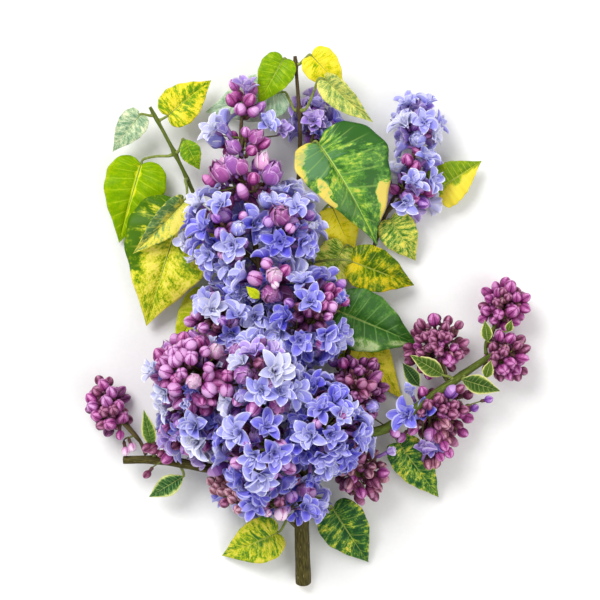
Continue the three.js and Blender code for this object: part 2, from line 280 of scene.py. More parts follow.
def feed(tree, socket, value):
    if isinstance(value, bpy.types.NodeSocket):
        tree.links.new(value, socket)
    else:
        socket.default_value = value


def calc(tree, operation, *values, clamp=False):
    step = tree.nodes.new("ShaderNodeMath")
    step.operation = operation
    step.use_clamp = clamp
    for socket, value in zip(step.inputs, values):
        feed(tree, socket, value)
    return step.outputs[0]


def noiseOf(tree, place, scale, detail=3.0, roughness=0.5):
    grain = tree.nodes.new("ShaderNodeTexNoise")
    feed(tree, grain.inputs["Vector"], place)
    grain.inputs["Scale"].default_value = scale
    grain.inputs["Detail"].default_value = detail
    grain.inputs["Roughness"].default_value = roughness
    return grain.outputs["Fac"]


def rampOf(tree, share, stops):
    ramp = tree.nodes.new("ShaderNodeValToRGB")
    feed(tree, ramp.inputs["Fac"], share)
    while len(ramp.color_ramp.elements) < len(stops):
        ramp.color_ramp.elements.new(1.0)
    for element, (place, shade) in zip(ramp.color_ramp.elements, stops):
        element.position = place
        element.color = colour(*shade)
    return ramp.outputs["Color"]


mixSockets = {"share": 0, "first": 6, "second": 7, "colour": 2}


def mixed(tree, share, first, second):
    mix = tree.nodes.new("ShaderNodeMix")
    mix.data_type = "RGBA"
    feed(tree, mix.inputs[mixSockets["share"]], share)
    feed(tree, mix.inputs[mixSockets["first"]], first)
    feed(tree, mix.inputs[mixSockets["second"]], second)
    return mix.outputs[mixSockets["colour"]]


# 1 at and below the near value, 0 from the far one on, with a soft change between
def fadeOut(tree, value, near, far):
    step = tree.nodes.new("ShaderNodeMapRange")
    step.interpolation_type = "SMOOTHSTEP"
    feed(tree, step.inputs["Value"], value)
    step.inputs["From Min"].default_value = near
    step.inputs["From Max"].default_value = far
    return calc(tree, "SUBTRACT", 1.0, step.outputs[0])


def bumped(tree, surface, height, strength, depth):
    bump = tree.nodes.new("ShaderNodeBump")
    bump.inputs["Strength"].default_value = strength
    bump.inputs["Distance"].default_value = depth
    feed(tree, bump.inputs["Height"], height)
    tree.links.new(bump.outputs["Normal"], surface.inputs["Normal"])


grainDetail = {"stops": (0.34, 0.66), "specular": 0.2, "detail": 4.0, "bump": 0.3, "depth": 0.1 * mm}


# a fine grain from dark to light
def grainFinish(name, tones, roughness, scale):
    finish, tree, surface = startFinish(name, roughness, grainDetail["specular"])
    place = tree.nodes.new("ShaderNodeTexCoord")
    grain = noiseOf(tree, place.outputs["Object"], scale, grainDetail["detail"])
    tone = rampOf(tree, grain, list(zip(grainDetail["stops"], tones)))
    tree.links.new(tone, surface.inputs["Base Color"])
    bumped(tree, surface, grain, grainDetail["bump"], grainDetail["depth"])
    return finish


# bark of the limbs: long faint streaks, and pale corky spots
barkDetail = {"roughness": 0.6, "specular": 0.15, "stretch": (7.0, 0.9, 1.0), "streaks": 2.2, "spots": 1.6,
              "spotReach": (0.10, 0.20), "stops": (0.28, 0.72), "bump": 0.4, "depth": 0.3 * mm}
barkLooks = {
    "bark": {"dark": (40, 37, 8), "light": (98, 90, 42), "spot": (134, 124, 78)},
    "green_bark": {"dark": (52, 66, 16), "light": (112, 128, 48), "spot": (158, 160, 96)},
    "purple_stalk": {"dark": (46, 30, 28), "light": (98, 82, 50), "spot": (132, 114, 84)},
}


def barkFinish(name, look):
    finish, tree, surface = startFinish(name, barkDetail["roughness"], barkDetail["specular"])
    place = tree.nodes.new("ShaderNodeUVMap")
    place.uv_map = "barkMap"  # round the limb, and along it in centimetres
    stretch = tree.nodes.new("ShaderNodeMapping")
    stretch.inputs["Scale"].default_value = barkDetail["stretch"]
    tree.links.new(place.outputs[0], stretch.inputs["Vector"])
    streak = noiseOf(tree, stretch.outputs[0], barkDetail["streaks"], 5.0)
    spots = tree.nodes.new("ShaderNodeTexVoronoi")
    spots.inputs["Scale"].default_value = barkDetail["spots"]
    tree.links.new(stretch.outputs[0], spots.inputs["Vector"])
    spot = fadeOut(tree, spots.outputs["Distance"], *barkDetail["spotReach"])
    tone = rampOf(tree, streak, list(zip(barkDetail["stops"], (look["dark"], look["light"]))))
    tree.links.new(mixed(tree, spot, tone, colour(*look["spot"])), surface.inputs["Base Color"])
    bumped(tree, surface, calc(tree, "ADD", streak, spot), barkDetail["bump"], barkDetail["depth"])
    return finish


barkFinishes = {slot: barkFinish(slot, look) for slot, look in barkLooks.items()}
cutWood = grainFinish("cut_wood", [(196, 186, 130), (226, 218, 174)], 0.8, 1600.0)
cutPith = grainFinish("cut_pith", [(222, 216, 186), (242, 238, 216)], 0.9, 3000.0)

# A limb swells where the foot of a leaf is within reach of its bark. Its ridges are noise, read round the
# limb and along it.
limbDetail = {"sides": 22, "step": 1.0 * mm, "fewest": 6, "ridge": 0.045, "round": 2.4, "along": 0.1,
              "swell": 0.3, "swellLength": 3.2 * mm, "reach": 1.2 * mm}
pithDetail = {"sides": 14, "share": 0.28, "out": 0.05}
leafFeet = np.array([leaf["petiole"][0] for leaf in leaves.values()])
centimetres = 100  # in a metre


# a limb with ridged bark, and a swelling where each leaf leaves it
def makeLimb(name):
    limb = limbs[name]
    sides = limbDetail["sides"]
    lengths = np.linalg.norm(np.diff(limb["line"], axis=0), axis=1)
    count = max(limbDetail["fewest"], int(lengths.sum() / limbDetail["step"]))
    places = np.linspace(0, len(limb["line"]) - 1, count)
    line = lineAt(limb["line"], places)
    radii = np.interp(places, np.arange(len(limb["radii"])), limb["radii"])
    seed = sum(map(ord, name))
    for foot in leafFeet:
        away = np.linalg.norm(line - foot, axis=1)
        if away.min() < radii[int(away.argmin())] + limbDetail["reach"]:
            radii = radii * (1 + limbDetail["swell"] * np.exp(-((away / limbDetail["swellLength"]) ** 2)))

    def grain(k, turn):
        across, over = limbDetail["round"] * math.cos(turn), limbDetail["round"] * math.sin(turn)
        return limbDetail["ridge"] * noise.noise(Vector((across, over, k * limbDetail["along"] + seed)))

    batch = emptyBatch()
    addTube(batch, line, radii, sides, 0, grain)
    turns = np.tile(np.arange(sides) / sides, count)
    travel = np.repeat(np.arange(count) * limbDetail["step"] * centimetres, sides)
    maps = {"barkMap": np.stack([np.abs(turns * 2 - 1), travel], 1)}
    finishes = [barkFinishes[slotOf[name]]]
    if name == "main_stem":  # the cut shows wood round a paler pith
        batch["shades"][-2] = 1
        addPith(batch, line, radii)
        maps["barkMap"] = np.vstack([maps["barkMap"], np.zeros((pithDetail["sides"], 2))])
        finishes += [cutWood, cutPith]
    makePiece(name + "_bark", batch, finishes, [name], slotOf[name], maps)


# a disc just outside the cut end
def addPith(batch, line, radii):
    ahead, side, over = carriedFrames(line[:3])
    turns = turnsOf(pithDetail["sides"])[:, None]
    middle = line[0] - ahead[0] * pithDetail["out"] * mm
    disc = middle + pithDetail["share"] * radii[0] * (np.cos(turns) * side[0] + np.sin(turns) * over[0])
    addTo(batch, disc, [tuple(range(len(disc)))[::-1]], [2])


for limbName in limbNames:
    makeLimb(limbName)
print("limbs made")


# leaves

bladeRings = 9


# What a leaf has unless its own look says otherwise. weave is the weights of streaks, blotches and flecks.
def leafLook(yellow, *tones, **own):
    return {"yellow": yellow, "tones": tones, "mottle": 1.0, "weave": (1.2, 0.5, 0.6), "margin": 0.1,
            "gloss": 0.1, "ragged": 0.9, "rib": 0.04, "sideVeins": 0.3, "patches": [], "washes": [],
            "edges": {}, **own}


# Each leaf: how much of it is yellow, and its colours from green to yellow. A patch is a place along the
# blade, a place across it from -1 to 1 at its edges, a reach, and how far it turns to yellow. A painted
# reflection is such a place with a strength and a colour that lies over it: paler blue-green where the sky
# is mirrored on a glossy blade, painted into its colour. Edges widen or narrow the two halves of the
# blade, at places along it.
deepGreen, midGreen, limeGreen, yellow = (30, 74, 36), (62, 112, 44), (138, 166, 50), (226, 212, 84)
leafLooks = {
    "hero_leaf": leafLook(0.32, (42, 94, 24), (82, 138, 46), (152, 190, 62), (226, 204, 92),
        margin=0.0, gloss=0.3, mottle=0.85, sideVeins=0.2, ragged=2.4,
        edges={"right": [(0, 1.04), (0.34, 0.98), (0.46, 0.8), (0.6, 0.74), (0.88, 0.72), (1, 0.8)],
               "left": [(0, 1.04), (0.3, 1.1), (0.5, 1.16), (0.7, 1.12), (0.78, 1.0), (0.9, 0.76), (1, 0.7)]},
        patches=[(0.2, 0.94, 0.4, 0.5), (0.31, 1.0, 0.3, 0.5), (0.5, 0.7, 0.17, 0.5), (0.56, 0.94, 0.15, 0.5),
                 (0.69, -0.97, 0.24, 0.5), (0.66, -0.8, 0.17, 0.5), (0.42, -0.34, 0.34, 0.14),
                 (0.62, -0.16, 0.26, 0.1), (0.84, -0.05, 0.3, 0.12), (0.4, 0.42, 0.5, -0.16),
                 (0.3, -0.85, 0.5, -0.2)],
        # painted reflection: the sky mirrored on the glossy left half of the blade, painted as paler
        # blue-green
        washes=[(0.3, 0.42, 0.6, 0.55, (118, 166, 116)), (0.66, 0.3, 0.5, 0.3, (128, 170, 100))]),
    "arching_leaf": leafLook(0.5, (104, 138, 70), (146, 170, 90), (202, 206, 100), (232, 222, 120)),
    "pale_leaf": leafLook(0.45, (118, 152, 112), (158, 188, 154), (196, 212, 180), (226, 232, 206),
        mottle=0.6),
    "top_left_leaf": leafLook(0.3, (104, 146, 2), (132, 168, 4), (166, 192, 20), (214, 214, 50),
        mottle=0.6),
    "top_right_leaf": leafLook(0.72, (110, 150, 10), (170, 184, 10), (222, 208, 24), (238, 220, 60)),
    # partly the leaf's own yellow, partly painted light: its tones are raised to make up for the shade of the
    # hero leaf over it
    "yellow_leaf": leafLook(0.8, (150, 168, 16), (214, 206, 16), (250, 230, 24), (255, 238, 70)),
    "outer_right_leaf": leafLook(0.5, (60, 106, 30), (108, 148, 60), (190, 196, 80), (236, 220, 90)),
    # partly the leaf's own colour, partly painted light: its tones are raised to make up for the shade of the
    # hero leaf and blooms over it
    "marbled_right_leaf": leafLook(0.5, (76, 116, 26), (136, 168, 54), (198, 210, 86), (240, 226, 108)),
    "yellow_green_leaf": leafLook(0.42, (56, 88, 8), (94, 122, 8), (158, 158, 14), (212, 188, 30),
        patches=[(0.15, 0.1, 0.75, 0.3)]),
    "broad_right_leaf": leafLook(0.26, (42, 92, 22), (66, 118, 34), (104, 148, 56), (176, 198, 134),
        mottle=0.7, gloss=0.35, patches=[(0.55, 0.8, 0.3, 0.3), (0.78, 0.7, 0.3, 0.3)]),
    "yellow_right_leaf": leafLook(0.66, (96, 132, 20), (150, 166, 22), (212, 202, 36), (238, 220, 70)),
    "right_branch_leaf": leafLook(0.42, deepGreen, midGreen, limeGreen, yellow),
    "lower_right_leaf": leafLook(0.34, deepGreen, midGreen, limeGreen, yellow),
    "lower_left_leaf": leafLook(0.5, midGreen, (120, 156, 30), (196, 200, 40), yellow),
    "marbled_left_leaf": leafLook(0.58, (72, 114, 8), (128, 156, 18), (206, 206, 40), (240, 226, 96),
        gloss=0.12, weave=(0.8, 0.15, 0.62),
        patches=[(0.2, 0.8, 0.76, -0.34), (0.5, 1.0, 0.5, -0.3), (0.42, -0.1, 0.26, 0.22),
                 (0.66, 0.3, 0.3, 0.12), (0.8, -0.05, 0.2, -0.1)]),
    "folded_left_leaf": leafLook(0.56, (86, 124, 62), (134, 166, 100), (206, 206, 60), (238, 222, 96),
        gloss=0.2, patches=[(0.5, 0.75, 0.8, -0.2), (0.4, -0.5, 0.6, 0.14)]),
    "back_lit_leaf": leafLook(0.36, (110, 152, 0), (134, 172, 0), (170, 190, 8), (220, 210, 40),
        mottle=0.5, rib=0.09, gloss=0.05,
        patches=[(0.24, 0.03, 0.15, 0.3), (0.4, 0.0, 0.15, 0.3), (0.56, -0.02, 0.14, 0.3),
                 (0.72, -0.02, 0.13, 0.3)]),
    "small_left_leaf": leafLook(0.36, (90, 140, 20), (126, 166, 22), (176, 196, 36), yellow),
    "upper_left_leaf": leafLook(0.5, (86, 134, 16), (130, 164, 18), (216, 206, 30), (240, 222, 66)),
    "grey_left_leaf": leafLook(0.42, (104, 142, 106), (150, 178, 140), (192, 206, 160), (228, 230, 190)),
    "lower_yellow_leaf": leafLook(0.5, (142, 168, 16), (172, 190, 22), (202, 208, 46), (230, 224, 80),
        mottle=0.6),
    "left_bract_upper": leafLook(0.26, (66, 104, 40), (98, 134, 52), (160, 180, 84), (218, 220, 140),
        margin=0.7, mottle=0.5),
    "left_bract_lower": leafLook(0.3, deepGreen, (76, 120, 60), (160, 184, 96), (222, 224, 150),
        margin=0.6, mottle=0.6),
    "right_bract_upper": leafLook(0.2, (58, 88, 24), (92, 118, 38), (160, 168, 84), (222, 218, 150),
        margin=0.6, mottle=0.4),
    "right_bract_lower": leafLook(0.2, (48, 78, 26), (82, 110, 38), (160, 172, 84), (222, 218, 150),
        margin=0.6, mottle=0.45),
    "leaflet": leafLook(0.22, (66, 92, 24), (104, 130, 40), (176, 184, 90), (226, 222, 150),
        margin=0.6, mottle=0.4),
    "dark_leaflet": leafLook(0.2, (30, 58, 20), (48, 82, 28), (96, 124, 52), (190, 196, 120),
        margin=0.7, mottle=0.4),
    "yellow_sided": leafLook(0.26, (100, 136, 20), (138, 164, 28), (204, 200, 42), (232, 214, 66),
        mottle=0.5, patches=[(0.0, 0.8, 0.8, 0.42), (0.3, 0.75, 0.8, 0.42), (0.66, 0.7, 0.8, 0.42)]),
    "yellow_leaflet": leafLook(0.5, (120, 160, 10), (164, 188, 14), (206, 208, 24), (232, 222, 60),
        mottle=0.5),
}
toneStops = (0.31, 0.46, 0.57, 0.7)


# The grains in a leaf's colour: how fine along the blade and across it, its depth in the noise, and detail.
leafGrains = {"streak": (26.0, 2.2, 0.0, 5.0), "blotch": (5.0, 1.7, 7.0, 2.0),
              "fleck": (90.0, 16.0, 3.0, 3.0)}
# Veins: where the first side vein starts and how far apart they are, counted in the rings of the blade, the
# reaches over which a vein fades to its sides and to the leaf's edge, and how strong and pale they are.
veins = {"first": 1.9, "pitch": 0.75, "fade": (0.015, 0.09), "outer": (0.55, 0.98), "middle": 0.75,
         "core": 0.4, "paler": 44}
faceRoughness = 0.42
underside = {"roughness": 0.62, "gloss": 0.1, "share": 0.45, "colour": (176, 194, 140)}
# a fine net over a leaf, with sunken veins
leafNet = {"scale": 1400.0, "net": 0.5, "vein": -0.8, "bump": 0.35, "depth": 0.25 * mm}


def leafGrain(tree, kind, row, across, seed):
    alongScale, acrossScale, depth, detail = leafGrains[kind]
    spot = tree.nodes.new("ShaderNodeCombineXYZ")
    feed(tree, spot.inputs["X"], calc(tree, "MULTIPLY", row, alongScale))
    feed(tree, spot.inputs["Y"], calc(tree, "MULTIPLY", across, acrossScale))
    spot.inputs["Z"].default_value = seed + depth
    return calc(tree, "SUBTRACT", noiseOf(tree, spot.outputs[0], 1.0, detail, 0.6), 0.5)


# How far a leaf's yellow moves its marble, how narrow its margin is, how much more a step along the blade
# counts than one across it, how blotchy a patch is, and where its soft edge starts in its reach.
marbleDetail = {"least": 0.2, "yellow": 0.6, "margin": 5.0, "along": 2.4, "blotchy": 1.2, "soft": 0.5}


def squared(tree, value):
    return calc(tree, "POWER", value, 2.0)


# green marbled with yellow in streaks along the side veins
def marbledTone(tree, look, row, across, seed):
    grains = {kind: leafGrain(tree, kind, row, across, seed) for kind in leafGrains}
    marble = marbleDetail["least"] + marbleDetail["yellow"] * look["yellow"]
    for grain, weight in zip(grains.values(), look["weave"]):
        marble = calc(tree, "MULTIPLY_ADD", grain, weight * look["mottle"], marble)
    edge = calc(tree, "POWER", calc(tree, "ABSOLUTE", across), marbleDetail["margin"])
    marble = calc(tree, "MULTIPLY_ADD", edge, look["margin"], marble)

    def patchAt(along, side, reach):
        off = calc(tree, "MULTIPLY", calc(tree, "SUBTRACT", row, along), marbleDetail["along"])
        aside = calc(tree, "SUBTRACT", across, side)
        away = calc(tree, "SQRT", calc(tree, "ADD", squared(tree, off), squared(tree, aside)))
        away = calc(tree, "MULTIPLY_ADD", grains["blotch"], reach * marbleDetail["blotchy"], away)
        away = calc(tree, "MULTIPLY_ADD", grains["streak"], reach * look["ragged"], away)
        return fadeOut(tree, away, reach * marbleDetail["soft"], reach)

    for along, side, reach, turn in look["patches"]:
        marble = calc(tree, "MULTIPLY_ADD", patchAt(along, side, reach), turn, marble)
    tone = rampOf(tree, marble, list(zip(toneStops, look["tones"])))
    # painted reflections: paler colours laid over the tone where the sky is mirrored on a glossy blade
    for along, side, reach, strength, shade in look["washes"]:
        share = calc(tree, "MULTIPLY", patchAt(along, side, reach), strength)
        tone = mixed(tree, share, tone, colour(*shade))
    return tone


# how much of a place is vein
def veinAt(tree, look, row, across):
    outward = calc(tree, "ABSOLUTE", across)
    ring = calc(tree, "SUBTRACT", calc(tree, "MULTIPLY", row, bladeRings), veins["first"])
    phase = calc(tree, "DIVIDE", ring, veins["pitch"])
    near = calc(tree, "ABSOLUTE", calc(tree, "SUBTRACT", phase, calc(tree, "ROUND", phase)))
    sideVein = fadeOut(tree, near, *veins["fade"])
    sideVein = calc(tree, "MULTIPLY", sideVein, fadeOut(tree, outward, *veins["outer"]))
    sideVein = calc(tree, "MULTIPLY", sideVein, look["sideVeins"])
    midVein = fadeOut(tree, outward, look["rib"] * veins["core"], look["rib"])
    return calc(tree, "MAXIMUM", sideVein, calc(tree, "MULTIPLY", midVein, veins["middle"]))


def leafFinish(name, look, seed, isUnderside):
    if isUnderside:
        finish, tree, surface = startFinish(name, underside["roughness"], underside["gloss"])
    else:
        finish, tree, surface = startFinish(name, faceRoughness, look["gloss"])
    place = tree.nodes.new("ShaderNodeUVMap")
    place.uv_map = "leafMap"
    parts = tree.nodes.new("ShaderNodeSeparateXYZ")
    tree.links.new(place.outputs[0], parts.inputs[0])
    row = parts.outputs[0]
    across = calc(tree, "MULTIPLY_ADD", parts.outputs[1], 2.0, -1.0)
    vein = veinAt(tree, look, row, across)
    veinTone = [min(255, c + veins["paler"]) for c in look["tones"][2]]
    tone = mixed(tree, vein, marbledTone(tree, look, row, across, seed), colour(*veinTone))
    if isUnderside:
        tone = mixed(tree, underside["share"], tone, colour(*underside["colour"]))
    tree.links.new(tone, surface.inputs["Base Color"])
    netPlace = tree.nodes.new("ShaderNodeTexCoord")
    net = noiseOf(tree, netPlace.outputs["Object"], leafNet["scale"], 2.0)
    net, sunken = calc(tree, "MULTIPLY", net, leafNet["net"]), calc(tree, "MULTIPLY", vein, leafNet["vein"])
    bumped(tree, surface, calc(tree, "ADD", net, sunken), leafNet["bump"], leafNet["depth"])
    return finish


petioleFinish = grainFinish("petiole", [(108, 122, 50), (142, 154, 76)], 0.5, 700.0)


def leafFinishes(name, look, seed):
    return [leafFinish(name + "_face", look, seed, False), leafFinish(name + "_back", look, seed, True),
            petioleFinish]


# Heights and waves are shares of a blade's width. The two halves wave at their own turns, left and right.
bladeDetail = {"rowsPerRing": 5, "columns": 12, "thickness": 0.4 * mm, "lowest": 0.2 * mm, "taper": 1.6,
               "bulge": 0.045, "quilt": 0.011, "groove": 0.012, "grooveWidth": 0.07,
               "wave": 0.025, "waveTurns": (0.0, 2.1), "scallop": 0.016, "scallopTurns": (0.0, 1.7)}


# how far a line along the blade is lifted: out is 0 at the middle vein and 1 at the edge
def bladeLift(places, out, seed, turn):
    rest = 0.5 - 0.5 * np.cos(2 * math.pi * (places - veins["first"]) / veins["pitch"])
    waves = np.sin(places * 2.7 + seed + turn) + 0.6 * np.sin(places * 4.9 + 2 * seed + turn)
    lift = bladeDetail["bulge"] * np.sin(math.pi * out**0.8)
    lift = lift + bladeDetail["quilt"] * rest * math.sin(math.pi * min(1.0, out * 1.15) ** 0.7)
    lift = lift - bladeDetail["groove"] * math.exp(-((out / bladeDetail["grooveWidth"]) ** 2))
    return lift + bladeDetail["wave"] * waves * out**2.5


# the points round the edge of a grid, in order
def edgeOf(rows, columns):
    last = (rows - 1) * columns
    start, end = [r * columns for r in range(rows)], [last + c for c in range(1, columns)]
    back = [r * columns + columns - 1 for r in range(rows - 2, -1, -1)]
    return start + end + back + list(range(columns - 2, 0, -1))


def addBlade(batch, leaf, seed, edges):
    rows = bladeDetail["rowsPerRing"] * bladeRings + 1
    places = np.linspace(0, bladeRings, rows)
    mids, lefts, rights = (lineAt(leaf[side], places) for side in ("mids", "lefts", "rights"))
    width = np.linalg.norm(rights - lefts, axis=1)
    taper = np.clip(width / width.max() * bladeDetail["taper"], 0, 1)
    points, uv = [], []
    for share in np.linspace(-1, 1, 2 * bladeDetail["columns"] + 1):
        out, isRight = abs(share), bool(share > 0)
        lift = bladeLift(places, out, seed, bladeDetail["waveTurns"][isRight]) * taper * width.max()
        scallops = np.sin(places * 5.3 + 3 * seed + bladeDetail["scallopTurns"][isRight])
        reach = out * (1 + bladeDetail["scallop"] * taper * scallops * out**2)
        half = "right" if isRight else "left"
        if half in edges:
            reach = reach * np.interp(places / bladeRings, *zip(*edges[half]))
        edge = rights if isRight else lefts
        points.append(mids + (edge - mids) * reach[:, None] + leaf["up"] * lift[:, None])
        uv.append(np.stack([places / bladeRings, np.full(rows, (share + 1) / 2)], 1))
    columns = len(points)
    top = np.stack(points, 1).reshape(-1, 3)
    uv = np.stack(uv, 1).reshape(-1, 2)
    under = top - leaf["up"] * bladeDetail["thickness"]
    top[:, 2] = np.maximum(top[:, 2], bladeDetail["lowest"] + bladeDetail["thickness"])
    under[:, 2] = np.maximum(under[:, 2], bladeDetail["lowest"])
    count = len(top)
    faces = gridFaces(rows, columns, False)
    underFaces = [tuple(i + count for i in face[::-1]) for face in faces]
    loop = edgeOf(rows, columns)
    stitched = [(a, b, b + count, a + count) for a, b in zip(loop, loop[1:] + loop[:1])]
    shades = [0] * len(faces) + [1] * len(underFaces) + [0] * len(stitched)
    addTo(batch, np.vstack([top, under]), faces + underFaces + stitched, shades)
    return np.vstack([uv, uv])


# The stalk of a leaf is thick at its foot, and runs on under the blade as its rib.
petioleDetail = {"radius": 0.95 * mm, "foot": 1.5, "rest": 0.8, "shrink": 6, "sides": 10, "stations": 22}
ribDetail = {"length": 0.86, "below": 0.5 * mm, "radii": (0.8, 0.25)}


def makeLeaf(name, leaf, look, finishes, replaced, slot, girth=1.0):
    seed = sum(map(ord, name)) % 97
    batch = emptyBatch()
    uv = addBlade(batch, leaf, seed, look["edges"])
    count, sides = petioleDetail["stations"], petioleDetail["sides"]
    places = np.linspace(0, 1, count)
    petiole = lineAt(leaf["petiole"], places * (len(leaf["petiole"]) - 1))
    rest, foot = petioleDetail["rest"], petioleDetail["foot"]
    swell = rest + (foot - rest) * np.exp(-places * petioleDetail["shrink"])
    addTube(batch, petiole, girth * petioleDetail["radius"] * swell, sides, 2)
    rib = lineAt(leaf["mids"], np.linspace(0, ribDetail["length"], count) * bladeRings)
    rib = rib - leaf["up"] * ribDetail["below"]
    addTube(batch, rib, girth * np.linspace(*ribDetail["radii"], count) * mm, sides, 2)
    blank = np.zeros((batch["count"] - len(uv), 2))
    makePiece(name + "_blade", batch, finishes, replaced, slot, {"leafMap": np.vstack([uv, blank])})


for index, leafName in enumerate(leafNames):
    ownLook = leafLooks[leafName]
    finishes = leafFinishes(leafName, ownLook, 3.7 * index)
    makeLeaf(leafName, leaves[leafName], ownLook, finishes, [leafName], slotOf[leafName])

# Small leaves with no solid of their own. The ends are where a leaf leaves its stalk, and where its blade
# starts and stops, in millimetres from the fork and above the ground. The outline is the blade's width at
# even steps along it.
smallLeaves = {
    "near_bud_leaf": {"look": "dark_leaflet", "ends": [(77, 37, 26), (72, 41, 26), (62, 55, 22)], "width": 9},
    "far_bud_leaf_left": {"look": "leaflet", "ends": [(119, 66, 24), (113, 68, 30), (111, 81, 33)],
                          "width": 7},
    "far_bud_leaf_low": {"look": "leaflet", "ends": [(108, 47, 22), (112, 46, 27), (115, 57, 31)],
                         "width": 7},
    "far_bud_leaf_right": {"look": "leaflet", "ends": [(121, 74, 24), (125, 74, 31), (127, 81, 35)],
                           "width": 5},
    "middle_bud_leaf": {"look": "yellow_leaflet", "ends": [(-26, 92, 52), (-24, 94, 64), (-31.5, 101, 68)],
                        "width": 6},
    "side_bloom_leaf": {"look": "yellow_sided", "ends": [(60, 159, 13), (80, 157.5, 6), (111, 178, 11)],
                        "width": 27, "outline": (0, 0.86, 1.0, 0.98, 0.9, 0.78, 0.6, 0.4, 0.18, 0),
                        "girth": 1.0},
}
usualSmallLeaf = {"outline": (0, 0.5, 0.84, 1.0, 0.98, 0.88, 0.7, 0.46, 0.2, 0), "girth": 0.55}
smallDetail = {"arch": 0.06, "fold": 0.1}


def smallLeaf(plan):
    foot, base, tip = (fork + np.array(end) * mm for end in plan["ends"])
    side = unit(np.cross(tip - base, upward))
    up = unit(np.cross(side, tip - base))
    share = np.linspace(0, 1, bladeRings + 1)[:, None]
    mids = base + (tip - base) * share
    mids = mids + up * np.sin(math.pi * share) * smallDetail["arch"] * np.linalg.norm(tip - base)
    reach = np.array(plan["outline"])[:, None] * plan["width"] * mm * (side / 2 + up * smallDetail["fold"])
    return {"petiole": foot + (base - foot) * np.linspace(0, 1, 5)[:, None], "mids": mids, "up": up,
            "lefts": mids - reach * (1, 1, -1), "rights": mids + reach}


smallLooks = ("leaflet", "dark_leaflet", "yellow_leaflet", "yellow_sided")
smallFinishes = {name: leafFinishes(name, leafLooks[name], 2.0) for name in smallLooks}
for leafName, ownPlan in smallLeaves.items():
    plan = {**usualSmallLeaf, **ownPlan}
    makeLeaf(leafName, smallLeaf(plan), leafLooks[plan["look"]], smallFinishes[plan["look"]], [],
             "marbled_leaf", plan["girth"])
print("leaves made")


# florets and buds

# Petal colours: deep in the throat, over the petal, and pale along its rim.
petalTones = {
    "deep": [(66, 56, 188), (94, 86, 214), (192, 190, 244)],
    "blue": [(90, 78, 202), (124, 118, 226), (214, 212, 248)],
    "light": [(118, 112, 216), (156, 154, 234), (230, 230, 252)],
    "white": [(150, 146, 218), (194, 194, 236), (242, 242, 252)],
    "lilac": [(128, 88, 186), (166, 134, 218), (228, 212, 246)],
    "violet": [(104, 80, 184), (142, 124, 212), (208, 200, 240)],
    "mauve": [(108, 44, 126), (152, 84, 166), (210, 164, 218)],
    "rose": [(106, 36, 96), (158, 74, 148), (216, 156, 208)],
    "blush": [(176, 96, 156), (222, 158, 206), (250, 228, 244)],
}
# Bud colours: painted shade in the seams, the body, and a painted highlight at the tip.
budTones = {
    "magenta": [(104, 26, 84), (158, 66, 134), (206, 124, 186)],
    "pink": [(118, 46, 110), (178, 100, 168), (222, 166, 222)],
    "purple": [(88, 40, 124), (142, 86, 178), (196, 148, 218)],
    "dusty": [(74, 20, 48), (124, 58, 92), (176, 108, 146)],
    "brown": [(82, 34, 50), (142, 82, 102), (198, 140, 158)],
    "plum": [(66, 20, 56), (116, 52, 104), (170, 104, 158)],
    "rosy": [(106, 36, 92), (164, 86, 152), (212, 150, 208)],
    "palePink": [(160, 94, 144), (216, 158, 202), (246, 218, 240)],
    "tan": [(94, 42, 56), (162, 104, 120), (214, 164, 178)],
}


def blend(first, second, share):
    return tuple(a + (b - a) * share for a, b in zip(first, second))


# A petal and a bud each have five zones of colour.
zoneCount = 5
throatZone, faceZone, edgeZone, rimZone, innerZone = range(zoneCount)
# A bud's zones: painted shade in its seams, its body, a lighter upper part, painted shade at its foot, and a
# painted highlight at its top.
shadedSeamZone, bodyZone, litUpperZone, shadedFootZone, highlightZone = range(zoneCount)
# the pale colour that the painted highlight at a bud's top leans toward
highlightWhite = (255, 240, 255)


def petalZones(tones):
    throat, face, rim = tones
    return [throat, face, blend(face, rim, 0.3), rim, blend(face, rim, 0.52)]


def budZones(tones):
    # seam is painted shade and tip a painted highlight
    seam, body, tip = tones
    return [blend(seam, body, 0.15), body, blend(body, tip, 0.6), blend(seam, body, 0.55),
            blend(tip, highlightWhite, 0.1)]


petalFinishes = [plainFinish(f"petal_{tone}_{k}", shade, 0.5, 0.15)
                 for tone, shades in petalTones.items() for k, shade in enumerate(petalZones(shades))]
budFinishes = [plainFinish(f"bud_{tone}_{k}", shade, 0.42)
               for tone, shades in budTones.items() for k, shade in enumerate(budZones(shades))]
stalkTones = [(104, 112, 48), (88, 78, 40), (92, 60, 56), (146, 104, 172)]  # the last is the tube of a floret
stalkFinishes = [plainFinish(f"pedicel_{k}", shade, 0.6) for k, shade in enumerate(stalkTones)]

# A petal is a grid: places along it from foot to tip, places across it, and its half width at each row.
petalRows = np.array([0, 0.14, 0.3, 0.48, 0.66, 0.81, 0.92, 1.0])
petalColumns = np.array([-1, -0.84, -0.45, 0, 0.45, 0.84, 1])
petalWidths = np.array([0.26, 0.52, 0.8, 0.98, 0.92, 0.68, 0.37, 0.03])
curveSteps = 24


def petalZone(row, column, inner):
    lastRow, lastColumn = len(petalRows) - 2, len(petalColumns) - 2
    if row == 0:
        return throatZone
    if column in (0, lastColumn) or row == lastRow:
        return rimZone
    if inner:
        return innerZone
    isEdge = column in (1, lastColumn - 1) or row == lastRow - 1
    return edgeZone if isEdge and row > 1 else faceZone


def petalFaces(inner):
    rows, columns = range(len(petalRows) - 1), range(len(petalColumns) - 1)
    return [petalZone(row, column, inner) for row in rows for column in columns]


